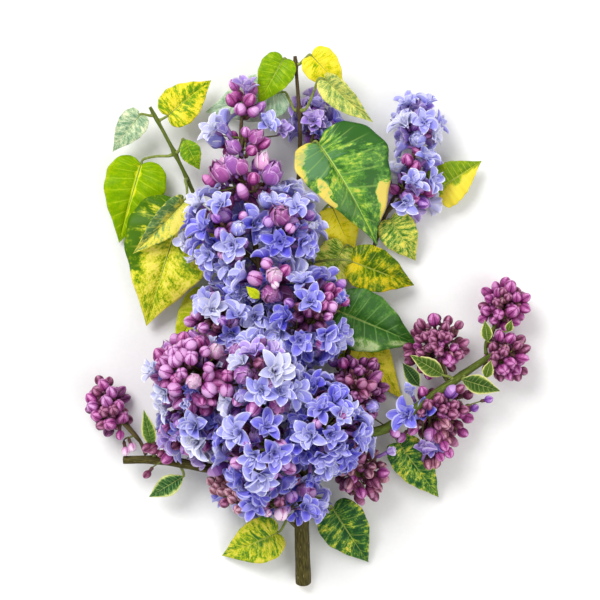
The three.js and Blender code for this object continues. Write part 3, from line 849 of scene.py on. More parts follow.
# a petal that leaves the middle at a turn; its slope goes from the first rise to the second along it
def addPetal(batch, turn, length, halfWidth, rise, cup, twist, start, inner):
    fine = np.linspace(0, 1, curveSteps + 1)
    slope = np.radians(rise[0] + (rise[1] - rise[0]) * fine**0.8)
    out = np.concatenate([[0], np.cumsum(np.cos(slope[:-1]))]) / curveSteps * length
    high = np.concatenate([[0], np.cumsum(np.sin(slope[:-1]))]) / curveSteps * length
    out, high = np.interp(petalRows, fine, out) + start, np.interp(petalRows, fine, high)
    lean = np.interp(petalRows, fine, slope)[:, None]
    wide = (halfWidth * petalWidths)[:, None]
    across = petalColumns[None, :]
    raised = cup * np.abs(across) ** 1.7 * wide
    reach = out[:, None] - np.sin(lean) * raised
    z = high[:, None] + np.cos(lean) * raised + across * wide * math.sin(twist) * petalRows[:, None]
    side = across * wide
    x = reach * math.cos(turn) - side * math.sin(turn)
    y = reach * math.sin(turn) + side * math.cos(turn)
    addSheet(batch, np.stack([x, y, z], 2), petalFaces(inner))


petalSize = {"length": 9.8, "half": 3.1}  # in millimetres, for a floret of the usual width
floretWidth = 17.0


# The whorls of a double floret: their size, how many degrees their petals rise at the foot and the tip when
# it is open and how many more when it is shut, where they start, and how far a whorl is turned.
whorls = [
    {"scale": 1.0, "rise": (44, -4), "shut": (40, 72), "start": 1.0, "shift": 0, "inner": False},
    {"scale": 0.84, "rise": (62, 22), "shut": (24, 54), "start": 0.7, "shift": 0.6, "inner": True},
    {"scale": 0.58, "rise": (84, 58), "shut": (0, 22), "start": 0.4, "shift": 0.2, "inner": True},
]
outerPetals, innerPetals = (4, 5, 5), 4
# How petals differ. A share of them is curled, with a deeper cup.
petalChance = {"turn": 0.16, "bend": 28, "curled": 0.2, "curledCup": (1.3, 2.0), "cup": (0.35, 0.95),
               "length": (0.78, 1.14), "half": (0.84, 1.14), "twist": 0.55}


# a double floret that faces +Z, with its mouth at the origin. flat is 1 when it is open, 0 when it is shut
def floretShape(draw, flat):
    batch = emptyBatch()
    outerCount = draw.choice(outerPetals)
    spin = draw.uniform(0, 2 * math.pi)
    for whorl in whorls:
        count = innerPetals if whorl["inner"] else outerCount
        foot, tip = (rise + more * (1 - flat) for rise, more in zip(whorl["rise"], whorl["shut"]))
        for k in range(count):
            shift = draw.uniform(-petalChance["turn"], petalChance["turn"])
            turn = spin + whorl["shift"] + 2 * math.pi * (k + shift) / count
            bend = draw.uniform(-petalChance["bend"], petalChance["bend"]) * (0.3 + 0.7 * flat)
            cup = draw.uniform(*petalChance["curledCup" if draw.random() < petalChance["curled"] else "cup"])
            length = petalSize["length"] * whorl["scale"] * draw.uniform(*petalChance["length"])
            half = petalSize["half"] * whorl["scale"] * draw.uniform(*petalChance["half"])
            twist = draw.uniform(-petalChance["twist"], petalChance["twist"])
            rise = (foot + bend * 0.4, tip + bend)
            addPetal(batch, turn, length, half, rise, cup, twist, whorl["start"], whorl["inner"])
    return batch


# A flower about to open, 2 across: layers of petals folded over each other round a closed middle.
openingLayers = [
    {"count": 4, "reach": 0.86, "girth": 1.0, "top": 0.6, "flare": (-0.2, 0.3), "inner": False},
    {"count": 4, "reach": 1.0, "girth": 0.88, "top": 0.4, "flare": (-0.2, 0.15), "inner": False},
    {"count": 3, "reach": 1.1, "girth": 0.7, "top": 0.16, "flare": (-0.1, 0.1), "inner": True},
]
openingDetail = {"height": 2.5, "below": 1.2, "heights": (0.86, 1.08), "turn": 0.14, "spread": 62,
                 "crease": 0.06, "creases": 6.5, "keel": 0.1, "lap": 0.08, "tilt": 0.12, "coreSides": 8}
openingRows, openingGirths = (0, 0.15, 0.4, 0.7, 1), (0.3, 0.74, 1.0, 0.96)
openingTurn = np.interp(petalRows, (0, 0.3, 0.6, 0.85, 1), (0.9, 1.0, 0.94, 0.72, 0.2))
openingCore = ((-1.1, 0.4), (0, 0.72), (0.8, 0.5), (1.2, 0.1))  # its heights and half widths


def openingShape(draw):
    batch = emptyBatch()
    detail = openingDetail
    across, along = petalColumns[None, :], petalRows[:, None]
    spin = draw.uniform(0, 2 * math.pi)
    for depth, layer in enumerate(openingLayers):
        for k in range(layer["count"]):
            shift = k + 0.5 * depth + draw.uniform(-detail["turn"], detail["turn"])
            turn = spin + shift * 2 * math.pi / layer["count"]
            high = detail["height"] * layer["reach"] * draw.uniform(*detail["heights"]) * petalRows
            profile = np.interp(petalRows, openingRows, (*openingGirths, layer["top"]))
            radius = layer["girth"] * profile + draw.uniform(*layer["flare"]) * petalRows**4
            angle = turn + across * (math.radians(detail["spread"]) * openingTurn)[:, None]
            crease = detail["crease"] * np.cos(detail["creases"] * across) * along ** 0.5
            keel = detail["keel"] * (1 - np.abs(across)) ** 1.5
            wide = radius[:, None] * (1 + detail["lap"] * across + keel + crease)
            tilt = detail["tilt"] * draw.uniform(-1, 1) * across * along
            z = (high - detail["below"])[:, None] + tilt
            addSheet(batch, np.stack([wide * np.cos(angle), wide * np.sin(angle), z], 2),
                     petalFaces(layer["inner"]))
    sides, rings = detail["coreSides"], len(openingCore)
    turns = turnsOf(sides)
    core = [(wide * math.cos(t), wide * math.sin(t), high) for high, wide in openingCore for t in turns]
    faces = gridFaces(rings, sides, True) + [tuple(range((rings - 1) * sides, rings * sides))]
    addTo(batch, core, faces, [innerZone] * len(faces))
    return batch


# A bud: where the columns of a quarter are from its seam, in degrees, the rings as heights and half widths,
# and the depth of a deep seam and a shallow one. crossed buds have four deep seams, straight ones have two.
seamAngles = (0, 7, 28, 62, 83)
budTurns = np.radians([quarter * 90 + angle for quarter in range(4) for angle in seamAngles])
budRings = ((0.0, 0.24), (0.12, 0.6), (0.3, 0.92), (0.5, 1.0), (0.7, 0.9), (0.86, 0.66), (0.96, 0.34),
            (1.0, 0.1))
seamDepths = {True: 0.15, False: 0.03}
budDetail = {"shoulder": 0.3, "square": 0.02, "lean": 0.12}
crossed, straight = (True, True, True, True), (True, False, True, False)


# the zone of a face of a bud: painted shade in its deep seams and at its foot, lighter toward its tip, where
# a painted highlight lies
def budZone(ring, column, isDeep):
    columns = len(seamAngles)
    quarter, place = divmod(column, columns)
    first, second = isDeep[quarter], isDeep[(quarter + 1) % 4]
    if ring > 0 and (place == 0 and first or place == columns - 1 and second):
        return shadedSeamZone
    if ring < 2:
        return shadedFootZone
    if place < 2 and first or place > 2 and second:  # beside a deep seam
        return litUpperZone if ring > 4 else bodyZone
    return (bodyZone, litUpperZone, highlightZone)[min(ring, 4) - 2]


# a closed bud that points along +Z; its four folded petals meet in the seams
def budShape(draw, stretch, isDeep):
    batch = emptyBatch()
    columns = len(seamAngles)
    groove = np.zeros(len(budTurns))
    for quarter in range(4):
        depth = seamDepths[isDeep[quarter]]
        seam = quarter * columns
        groove[seam] = depth
        groove[seam + 1] = groove[seam - 1] = budDetail["shoulder"] * depth
    lean = draw.uniform(-budDetail["lean"], budDetail["lean"])
    points = []
    for high, wide in budRings:
        reach = wide * (1 - groove) - budDetail["square"] * wide * np.cos(4 * budTurns)
        bend = lean * high * high
        z = (high - 0.5) * 2 * stretch
        points += [(r * math.cos(t) + bend, r * math.sin(t), z) for r, t in zip(reach, budTurns)]
    faces = gridFaces(len(budRings), len(budTurns), True)
    zones = [budZone(k, c, isDeep) for k in range(len(budRings) - 1) for c in range(len(budTurns))]
    tip = (len(budRings) - 1) * len(budTurns)
    # the cap where the seams meet at the tip takes the painted seam shade
    faces.append(tuple(range(tip, tip + len(budTurns))))
    addTo(batch, points, faces, zones + [shadedSeamZone])
    return batch


# a shape one across
def packed(batch, across):
    return np.concatenate(batch["points"]) / across, batch["faces"], np.array(batch["shades"])


def makeShapes():
    draw = random.Random(11)
    seams = [crossed] * 2 + [straight] * 4
    budWidth = 2.0

    def florets(count, low, high):
        return [packed(floretShape(draw, draw.uniform(low, high)), floretWidth) for _ in range(count)]

    def buds(low, high, seams):
        return [packed(budShape(draw, draw.uniform(low, high), isDeep), budWidth) for isDeep in seams]

    return {"double": florets(11, 0.66, 1.0), "half": florets(6, 0.05, 0.35),
            "opening": [packed(openingShape(draw), budWidth) for _ in range(6)],
            "bud": buds(1.0, 1.2, seams), "long": buds(1.4, 1.7, seams),
            "cup": florets(3, 0.4, 0.5), "crossed": buds(1.0, 1.2, [crossed] * 4)}


shapes = makeShapes()
budKinds = ("bud", "long")
openKinds = ("double", "half", "cup")
crossedTones = ("dusty", "brown", "plum", "tan", "magenta")  # buds of these tones have four seams that show

# Flowers that are listed one by one, in groups. A row is a kind, its tone, how far across it is in
# millimetres, and its places. The flowers of a group look out of their mass, or fan out from a place, or all
# look one way. A low flat keeps them from looking up.
setFlowers = [
    {"from": (-33, 198), "fan": 0.7, "flat": 0.6, "rows": [
        ("cup", "lilac", 19, (-32, 218)),
        ("bud", "magenta", 7.8, (-41, 213), (-30.5, 213.5)),
        ("bud", "pink", 7.8, (-36, 207.5), (-28, 206.5)),
        ("opening", "mauve", 6, (-24, 209))]},
    {"rows": [
        ("double", "white", 18, (-51, 194))]},
    {"way": (0.35, 0.35, 0.8), "rows": [
        ("double", "light", 17.5, (-20.5, 198.5)),
        ("double", "lilac", 14, (-11, 195))]},
    {"from": (-33, 177), "fan": 0.8, "flat": 0.4, "rows": [
        ("half", "violet", 15, (-44, 193)),
        ("opening", "mauve", 8.6, (-40, 185)),
        ("bud", "pink", 6.4, (-32.5, 194)),
        ("opening", "rose", 8.4, (-26.5, 191.5)),
        ("long", "magenta", 6.6, (-21.5, 187)),
        ("bud", "magenta", 7.6, (-29, 183))]},
    {"from": (-29.5, 145), "fan": 0.9, "flat": 0.4, "rows": [
        ("opening", "rose", 11.5, (-48, 170)),
        ("opening", "mauve", 10, (-41, 174)),
        ("long", "magenta", 6.6, (-54.5, 164.5)),
        ("bud", "magenta", 8, (-28, 166)),
        ("opening", "rose", 8.5, (-35.5, 173)),
        ("opening", "blush", 9, (-22.5, 176)),
        ("opening", "mauve", 12, (-17, 169)),
        ("long", "pink", 7.5, (-34.5, 158))]},
    {"rows": [
        ("double", "white", 17, (-60, 150)),
        ("double", "light", 17, (-47, 150)),
        ("double", "light", 16, (-3, 149)),
        ("double", "light", 20.5, (-41, 126)),
        ("double", "blue", 23, (-28, 138)),
        ("double", "blue", 19, (-57, 136)),
        ("double", "deep", 20, (-12, 128)),
        ("double", "blue", 18, (1, 128), (-45, 108)),
        ("double", "light", 18, (-55, 120)),
        ("double", "white", 16, (-67, 129)),
        ("half", "white", 11, (-63, 118), (-54, 104)),
        ("half", "white", 13, (5, 137)),
        ("opening", "rose", 12, (-12, 144)),
        ("bud", "pink", 6.5, (-6, 136))]},
    {"from": (-17, 99), "fan": 0.5, "rows": [
        ("bud", "pink", 7.6, (-20, 115)),
        ("long", "rosy", 9.4, (-27, 106)),
        ("opening", "blush", 9.5, (-15.5, 108)),
        ("bud", "magenta", 7.4, (-9, 110.5)),
        ("bud", "palePink", 5, (-15, 102)),
        ("opening", "rose", 10.5, (-18, 96.5), (-9, 96))]},
    {"rows": [
        ("double", "light", 18, (1, 103), (-39, 93)),
        ("double", "blue", 19, (6, 92), (15, 72)),
        ("double", "deep", 19, (-7, 83)),
        ("double", "blue", 18, (0, 69), (-41, 73), (-36, 102)),
        ("bud", "pink", 7.4, (-62, 84), (-58, 76), (-66, 80)),
        ("bud", "purple", 6.6, (24.5, 102.5)),
        ("bud", "magenta", 6.4, (18, 100), (17, 95), (22.5, 97.5), (27, 92), (14, 90)),
        ("bud", "pink", 7.2, (19, 89)),
        ("long", "pink", 5.6, (17, 83))]},
    {"way": (-0.1, 0.1, 1.0), "rows": [
        ("double", "white", 18, (-53, 87)),
        ("double", "light", 20, (-27, 83))]},
    {"from": (-60, 46), "fan": 0.7, "rows": [
        ("bud", "pink", 8.8, (-66, 66), (-65.5, 58), (-75, 56.5), (-80.5, 50), (-45, 55)),
        ("bud", "rosy", 8.8, (-75.5, 39.5), (-44, 38.5), (-71, 60)),
        ("bud", "rosy", 7, (-57, 62), (-55, 52.5), (-71, 49)),
        ("bud", "pink", 10, (-54.5, 39)),
        ("half", "white", 9, (-53, 67), (-46, 69), (-49, 54)),
        ("opening", "blush", 9, (-50.5, 62.5), (-64, 44)),
        ("opening", "mauve", 9, (-38, 62)),
        ("bud", "magenta", 8, (-43.5, 47.5)),
        ("opening", "mauve", 10.5, (-34, 48)),
        ("bud", "dusty", 7.6, (-24.5, 55)),
        ("long", "magenta", 5.5, (-59, 32), (-53, 32)),
        ("double", "white", 18, (-87, 50)),
        ("double", "white", 16, (-81, 38), (-80, 29)),
        ("half", "light", 14, (-68, 33)),
        ("bud", "purple", 5.8, (-80, 24), (-74.5, 22.5), (-73.5, 18.5)),
        ("half", "lilac", 9, (-74, 12)),
        ("long", "pink", 5.5, (-81.5, 15.5))]},
    {"rows": [
        ("double", "light", 21, (-63, 17.5)),
        ("double", "light", 23, (-37, 13)),
        ("double", "blue", 22, (-16, 1)),
        ("opening", "violet", 8, (-35, 35)),
        ("bud", "pink", 9.4, (-28, 27.5)),
        ("half", "violet", 14, (-48, 19), (-52, 12)),
        ("bud", "magenta", 7.2, (-66, 3), (-57, 5)),
        ("long", "purple", 5.5, (-80.5, 7)),
        ("bud", "pink", 8, (-38, -5)),
        ("long", "purple", 8.4, (-49, -8)),
        ("double", "white", 23, (-15, 50)),
        ("double", "light", 19, (-5, 38), (-23, 39)),
        ("opening", "rose", 9, (-14, 28)),
        ("double", "blue", 18.5, (-5, 18), (18, 12), (12, 27), (-20, 16), (6, 52)),
        ("double", "light", 17, (39, 6), (24, 24)),
        ("double", "deep", 18, (2, 2), (8, 40))]},
    {"rows": [
        ("bud", "tan", 5.8, (-53.7, -16), (-50, -18.7), (-48.4, -14), (-45.7, -18), (-43, -15.5),
         (-40.4, -18.7), (-38.8, -14.5), (-51.6, -21.4), (-47.3, -22.5), (-43, -22.5), (-38, -23),
         (-41, -27)),
        ("bud", "dusty", 6.4, (-45.5, -29)),
        ("bud", "tan", 6, (-37.5, -33)),
        ("double", "light", 23, (-23, -12)),
        ("double", "blue", 18, (-27, -30)),
        ("bud", "dusty", 8.4, (-4, -14)),
        ("opening", "mauve", 7.5, (2, -21)),
        ("bud", "dusty", 7, (-12.5, -28)),
        ("bud", "palePink", 8.4, (-11.5, -36)),
        ("bud", "palePink", 5, (-19.5, -35)),
        ("double", "blue", 18, (2.5, -32)),
        ("half", "deep", 14, (6, -11))]},
    {"rows": [
        ("bud", "magenta", 7, (26, 55), (25, 23), (50, -11), (37, -23)),
        ("bud", "purple", 6.6, (20, 56)),
        ("half", "lilac", 12, (52, 1)),
        ("bud", "pink", 6, (57, 13), (61, 10))]},
    {"from": (89, 61), "fan": 0.6, "rows": [
        ("bud", "magenta", 8.2, (80.5, 81), (89.5, 56.5)),
        ("bud", "dusty", 6, (89, 80.5), (95.5, 78), (80, 73), (79.5, 69.5), (85, 72), (89.5, 71),
         (87.5, 77), (80, 65.5), (75, 71.5), (72, 61)),
        ("bud", "dusty", 6.6, (83.5, 62), (96, 60)),
        ("long", "dusty", 5.4, (73, 78.5), (71.5, 69.5), (66, 60.5), (98.5, 67))]},
    {"from": (80, 25), "fan": 0.5, "rows": [
        ("bud", "magenta", 6.4, (74, 38), (87, 5), (90, 1), (84.5, -1)),
        ("bud", "dusty", 7.2, (77, 30), (83.5, 34), (92.5, 24.5)),
        ("bud", "dusty", 6.2, (73, 25), (96.5, 39.5), (101, 36), (86.5, 27.5), (93, 30), (98.5, 27),
         (83, 10)),
        ("bud", "purple", 9, (91, 38)),
        ("bud", "brown", 7, (87.5, 18.5), (78, -6), (82, -5)),
        ("long", "magenta", 6, (68.5, 15)),
        ("bud", "pink", 8.8, (78.5, 12)),
        ("double", "blue", 20, (64, 25)),
        ("half", "light", 15, (68, 35))]},
    {"way": (0.05, 0.62, 0.8), "rows": [
        ("cup", "lilac", 19, (75, 0))]},
    {"rows": [
        ("bud", "magenta", 8, (65, 178), (71, 183), (69, 173)),
        ("double", "light", 15, (76, 178))]},
    {"from": (123, 80), "fan": 0.5, "rows": [
        ("bud", "magenta", 8, (126.5, 101), (128, 86.5)),
        ("bud", "dusty", 5.4, (122, 98), (118, 92), (125, 95)),
        ("bud", "magenta", 7, (111.5, 86.5), (119.5, 84.5))]},
    {"from": (-106, 10), "fan": 0.5, "rows": [
        ("bud", "magenta", 7.4, (-118, 42), (-125.5, 33.5), (-109, 29.5), (-122.5, 23.5)),
        ("bud", "rosy", 7.4, (-113, 37.5), (-124.5, 29)),
        ("bud", "magenta", 8.2, (-107, 22.5), (-114.5, 18.5)),
        ("bud", "rosy", 8, (-116.5, 32)),
        ("bud", "dusty", 7, (-122, 38.5), (-112, 27), (-118, 26), (-119.5, 18))]},
    {"from": (120, 54), "fan": 0.5, "rows": [
        ("bud", "magenta", 7.2, (120, 71.5), (126.5, 70), (122.5, 51)),
        ("bud", "dusty", 6.2, (116, 65), (123, 62), (117.5, 59.5))]},
    {"rows": [
        ("opening", "violet", 7.5, (44, 29)),
        ("bud", "dusty", 6.4, (-88, 3), (-92, 4)),
        ("bud", "dusty", 5, (-83.5, 0.5), (-92, -12)),
        ("bud", "palePink", 5.4, (-105.5, 1.5), (-101.5, 4)),
        ("bud", "purple", 5, (105, 28), (114, 33))]},
]

# What fills the rest of each mass: how much of it is each kind, their tones, and how far they fan out from
# where the mass spreads from. Behind are the tones of deeper florets. In front of the stalk a bare mass has
# only the listed flowers, and a backed one has more buds behind them.
kinds = ("double", "half", "opening", "bud", "long")
# the tones behind are mostly darker than the outer ones: real flowers that also carry painted shade deep in a
# mass
mixDefaults = {"fan": 0.3, "behind": ("deep", "blue", "violet"), "bare": False, "backed": False}
blueMix = {**mixDefaults, "kinds": (0.86, 0.06, 0.03, 0.05, 0.0), "buds": ("pink", "purple"),
           "petals": ("blue", "blue", "deep", "light", "blue")}
paleMix = {**blueMix, "kinds": (0.8, 0.1, 0.05, 0.05, 0.0),
           "petals": ("light", "white", "blue", "light", "lilac")}
sideMix = {**mixDefaults, "kinds": (0.84, 0.06, 0.04, 0.06, 0.0), "buds": ("purple", "magenta"), "fan": 0.4,
           "petals": ("light", "lilac", "violet", "light", "white"), "behind": ("violet", "lilac")}
mauveMix = {**mixDefaults, "kinds": (0.0, 0.06, 0.16, 0.68, 0.1), "buds": ("magenta", "pink", "rosy"),
            "petals": ("rose", "mauve", "blush"), "fan": 0.5}
roseMix = {**mixDefaults, "kinds": (0.0, 0.0, 0.0, 0.84, 0.16), "petals": ("lilac",), "fan": 0.4,
           "buds": ("dusty", "dusty", "dusty", "magenta", "brown")}
farMix = {**roseMix, "buds": ("dusty", "magenta", "magenta")}
upperMix = {**blueMix, "petals": ("blue", "light", "light", "light", "blue")}
lowerMix = {**blueMix, "petals": ("blue", "deep", "deep", "light", "blue")}
nearMix = {**roseMix, "bare": True, "backed": True}
slotMixes = {"violet_blue_florets": blueMix, "pale_violet_florets": paleMix, "mauve_buds": mauveMix,
             "dusty_rose_buds": roseMix}
massMixes = {
    "bloom_upper_left": upperMix,
    "bloom_upper_right": upperMix,
    "bloom_lower_centre": lowerMix,
    "bloom_lower_right": lowerMix,
    "right_bud_mass": {**roseMix, "buds": ("plum", "dusty", "plum")},
    "left_bud_mass": {**nearMix, "buds": ("dusty", "plum")},
    "bloom_tip": {**mauveMix, "fan": 0.6, "bare": True},
    "bloom_second_tier": {**sideMix, "kinds": (0.3, 0.15, 0.15, 0.4, 0.0), "buds": ("pink", "magenta"),
                          "fan": 0.6, "bare": True},
    "bloom_third_tier": {**mauveMix, "kinds": (0.0, 0.0, 0.8, 0.1, 0.1), "fan": 0.75, "bare": True},
    "bloom_middle_buds": {**blueMix, "kinds": (0.7, 0.1, 0.1, 0.1, 0.0), "petals": ("blue", "light", "deep")},
    "near_upper_bud_mass": nearMix,
    "near_lower_bud_mass": nearMix,
    "far_upper_bud_mass": farMix,
    "far_lower_bud_mass": farMix,
    "lower_right_bud_mass": {**roseMix, "kinds": (0.0, 0.0, 0.0, 0.4, 0.6), "buds": ("brown", "dusty")},
    "side_bloom_upper": sideMix,
    "side_bloom_lower": sideMix,
    "back_bloom": {**sideMix, "petals": ("violet", "lilac", "violet", "violet", "blue")},
}
mixes = {name: massMixes.get(name, slotMixes[slotOf[name]]) for name in massNames}
gaps = {"florets": 10.6 * mm, "buds": 7.4 * mm, "mixed": 8.2 * mm, "group": 15 * mm}
usualSizes = {"double": 18.0, "half": 15.0, "opening": 9.0, "bud": 7.2, "long": 6.8}
budSizes = {"mauve_buds": 8.2, "dusty_rose_buds": 6.3}
# Places in millimetres from the fork, with a radius: where a mass stays open so that its stalk is seen, and
# where it is left bare at every height.
openings = [(-62, 50, 5), (-58, 46, 5), (-49, 27, 4.5), (-27, 122, 5.5), (-7, 59, 4.5), (-16, 69, 5),
            (5, 79, 3), (-46, 139, 3), (-33, 152, 6), (-28, 153, 6), (-46, -20, 9), (-42, -30, 9),
            (-28, -44, 8), (-10, -44, 8)]
thinned = [(34, 84, 12), (33, 99, 10), (34, 68, 7), (-50, -43, 10), (-32, -50, 15.5), (-12, -50, 15),
           (9, -48, 14)]


def massPlace(name):
    low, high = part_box(name)
    return np.array((low + high) / 2), np.array((high - low) / 2)


massPlaces = {name: massPlace(name) for name in massNames}
stepsOnLimb = 80


def nearestOnLimb(place):
    name = min(limbs, key=lambda n: np.linalg.norm(limbs[n]["line"] - place, axis=1).min())
    line = limbs[name]["line"]
    dense = lineAt(line, np.linspace(0, len(line) - 1, stepsOnLimb))
    index = int(np.linalg.norm(dense - place, axis=1).argmin())
    return dense[index], unit(dense[min(index + 1, stepsOnLimb - 1)] - dense[max(index - 1, 0)])


rootShare = 0.8  # of half a mass, along its limb


# where a mass's flowers spread from: a point of its limb, nearer to the fork than its middle
def massRoot(name):
    middle, half = massPlaces[name]
    foot, along = nearestOnLimb(middle)
    back = np.abs(along) @ half * rootShare
    return nearestOnLimb(foot - along * back)[0]


roots = {name: massRoot(name) for name in massNames}
roots["bloom_left_lobe"] = fork + np.array((-59, 46, 40)) * mm


# a flower looks out of its mass, and away from the point that the flowers spread from
def facing(name, place):
    middle, half = massPlaces[name]
    fan = mixes[name]["fan"]
    return unit(unit((place - middle) / half**2) * (1 - fan) + unit(place - roots[name]) * fan)


# Heights above the ground: of listed flowers beside a mass, of those that fill it, and of deeper ones.
lowestBeside, lowestFlower, lowestBehind = 6 * mm, 3 * mm, 5 * mm
# the clear space a flower needs from its place to a leaf, a limb and another mass
clearance = {"leaf": 2.5 * mm, "limb": 1.25 * mm, "mass": 0.9 * mm}
groupClearance = {"leaf": 2 * mm, "limb": 1.5 * mm}
deepClearance = {"leaf": 4 * mm, "limb": 2 * mm}


# the mass that the camera sees at a place, where, and whether a limb lies in front of it
def settle(x, y):
    start = fork + np.array((x, y, 0.0)) * mm
    start[2] = view["level"]
    look = Vector(unit(start - eye))
    found = {name: tree.find_nearest(Vector(start)) for name, tree in massTrees.items()}
    name = min(found, key=lambda n: found[n][3])
    place, away = start, math.inf
    place[2] = max(found[name][0].z, lowestBeside)
    for other, tree in massTrees.items():
        hit, _, _, distance = tree.ray_cast(Vector(eye), look)
        if hit and distance < away:
            name, place, away = other, np.array(hit), distance
    limb, _, _, distance = limbTree.ray_cast(Vector(eye), look)
    if limb and distance < away:
        return name, np.array(limb), True
    return name, place, False


def clearOf(tree, place, distance):
    return tree.find_nearest(Vector(place), distance)[0] is None


def isClear(place, needed):
    return clearOf(leafTree, place, needed["leaf"]) and clearOf(limbTree, place, needed["limb"])


def isWithin(place, circles):
    x, y = (place - fork)[:2] / mm
    return any(math.hypot(x - middleX, y - middleY) < reach for middleX, middleY, reach in circles)


# whether nothing may fill a place, because it's kept open or is left to the listed flowers
def isShut(name, place):
    if isWithin(place, thinned):
        return True
    if place[2] < massPlaces[name][0][2] - 2 * mm:  # behind
        return False
    return mixes[name]["bare"] or isWithin(place, openings)


def roomFor(name, place):
    if place[2] < lowestFlower or isShut(name, place) or not isClear(place, clearance):
        return False
    return all(other == name or clearOf(tree, place, clearance["mass"]) for other, tree in massTrees.items())


sites = []
spots = {True: np.zeros((0, 3)), False: np.zeros((0, 3))}  # the places taken by buds, and by florets


def farFrom(place, isBud, near):
    own = gaps["buds"] if isBud else gaps["florets"]
    for taken, gap in ((spots[isBud], own * near), (spots[not isBud], gaps["mixed"] * near)):
        if len(taken) and np.linalg.norm(taken - place, axis=1).min() < gap:
            return False
    return True


# drop is how far the flower's own middle lies from its place
def addSite(name, place, way, kind, tone, size, drop):
    isBud = kind in budKinds
    sites.append({"mass": name, "way": unit(way), "kind": kind, "isBud": isBud, "tone": tone,
                  "size": size * mm, "place": place, "origin": place - drop})
    spots[isBud] = np.vstack([spots[isBud], place])


# How far a flower sinks into its mass, in millimetres or as a share of its size. One in front of a limb
# stands out from it. A lean turns flowers up.
sinks = {"floret": 2.6, "budShare": 0.4, "onLimbShare": -0.55}
leans = {"double": 0.4, "other": 0.15}


def sinkOf(kind, size):
    return (sinks["floret"] if kind in openKinds else sinks["budShare"] * size) * mm


def setByHand():
    for group in setFlowers:
        for kind, tone, size, *places in group["rows"]:
            for x, y in places:
                name, place, onLimb = settle(x, y)
                fan = group.get("fan", 0.0)
                start = massPlaces[name][0].copy()
                if fan:
                    start[:2] = fork[:2] + np.array(group["from"]) * mm
                way = facing(name, place) * (1 - fan) + unit(place - start) * fan
                way = np.array(group.get("way", way)) * (1, 1, group.get("flat", 1.0))
                sink = sinks["onLimbShare"] * size * mm if onLimb else sinkOf(kind, size)
                way = way + leans["double" if kind == "double" else "other"] * upward
                addSite(name, place, way, kind, tone, size, sink * upward)


def perpendicular(way):
    side = unit(np.cross(way, upward if abs(way[2]) < 0.9 else (1.0, 0.0, 0.0)))
    return side, np.cross(way, side)


sizeRange, brownShare = (0.86, 1.14), 0.86


def sizeFor(name, kind, draw):
    usual = budSizes.get(slotOf[name], usualSizes[kind]) if kind in budKinds else usualSizes[kind]
    return usual * draw.uniform(*sizeRange)


def addFill(name, place, way, kind, tone, draw, share=1.0):
    size = sizeFor(name, kind, draw) * share * (brownShare if tone == "brown" else 1.0)
    addSite(name, place, way, kind, tone, size, unit(way) * sinkOf(kind, size))


# A group of buds: how deep its common point lies, in buds, the tilt of its outer ones, how long their rays
# are, and how much nearer than usual they stand.
groupDetail = {"depth": 1.55, "tilt": (40, 58), "rays": (0.86, 1.08), "near": 0.82, "counts": (3, 4, 4, 5)}


# buds that spread from one point a little under the surface
def addGroup(name, place, way, mix, kind, draw):
    depth = groupDetail["depth"] * sizeFor(name, kind, draw) * mm
    side, over = perpendicular(way)
    count = draw.choice(groupDetail["counts"])
    spin = draw.uniform(0, 2 * math.pi)
    tone = draw.choice(mix["buds"])
    for k in range(count + 1):
        tilt = 0 if k == 0 else math.radians(draw.uniform(*groupDetail["tilt"]))
        turn = spin + (k + draw.uniform(-0.2, 0.2)) * 2 * math.pi / count
        ray = unit(math.cos(tilt) * way + math.sin(tilt) * (math.cos(turn) * side + math.sin(turn) * over))
        spot = place + (ray * draw.uniform(*groupDetail["rays"]) - way) * depth
        if spot[2] < lowestFlower or not farFrom(spot, True, groupDetail["near"]) or isShut(name, spot):
            continue
        if isClear(spot, groupClearance):
            addFill(name, spot, ray, kind, draw.choice((tone, tone, draw.choice(mix["buds"]))), draw)


areaForEach = 5 * mm * mm
wander = 0.35  # how far a flower that fills a mass may turn
mostlyOpen = 0.5  # a mass with a larger share of double florets has no groups of buds


# places spread evenly over the masses, in a random order
def candidates():
    chance = np.random.default_rng(5)
    found = []
    for name in massNames:
        mesh = nodes[name].data
        mesh.calc_loop_triangles()
        corners = np.array([[mesh.vertices[i].co for i in t.vertices] for t in mesh.loop_triangles])
        areas = np.array([t.area for t in mesh.loop_triangles])
        count = int(areas.sum() / areaForEach)
        a, b = chance.random((2, count))
        a, b = np.where(a + b > 1, 1 - a, a)[:, None], np.where(a + b > 1, 1 - b, b)[:, None]
        picked = corners[chance.choice(len(areas), count, p=areas / areas.sum())]
        first, second, third = picked[:, 0], picked[:, 1], picked[:, 2]
        found += [(name, place) for place in first + a * (second - first) + b * (third - first)]
    return [found[k] for k in chance.permutation(len(found))]


def jitter(draw, reach):
    return np.array([draw.uniform(-reach, reach) for _ in range(3)])


roomAround = {True: 3 * mm, False: 5 * mm}  # between a leaf and a bud, or a floret


# first the groups of buds and what opens among them, in the masses that are mostly buds
def fillWithGroups(free, draw):
    groups = np.zeros((0, 3))
    for name, place in free:
        mix = mixes[name]
        if mix["kinds"][0] > mostlyOpen:
            continue
        kind = draw.choices(kinds, mix["kinds"])[0]
        way = facing(name, place)
        if kind in budKinds:
            if len(groups) == 0 or np.linalg.norm(groups - place, axis=1).min() > gaps["group"]:
                groups = np.vstack([groups, place])
                addGroup(name, place, way, mix, kind, draw)
        elif farFrom(place, False, 1.0) and clearOf(leafTree, place, roomAround[False]):
            addFill(name, place, way, kind, draw.choice(mix["petals"]), draw)


def fillMasses():
    draw = random.Random(5)
    free = [(name, place) for name, place in candidates() if roomFor(name, place)]
    fillWithGroups(free, draw)
    for name, place in free:
        mix = mixes[name]
        kind = draw.choices(kinds, mix["kinds"])[0]
        way = facing(name, place) + jitter(draw, wander)
        isBud = kind in budKinds
        if farFrom(place, isBud, 1.0) and clearOf(leafTree, place, roomAround[isBud]):
            addFill(name, place, way, kind, draw.choice(mix["buds" if isBud else "petals"]), draw)
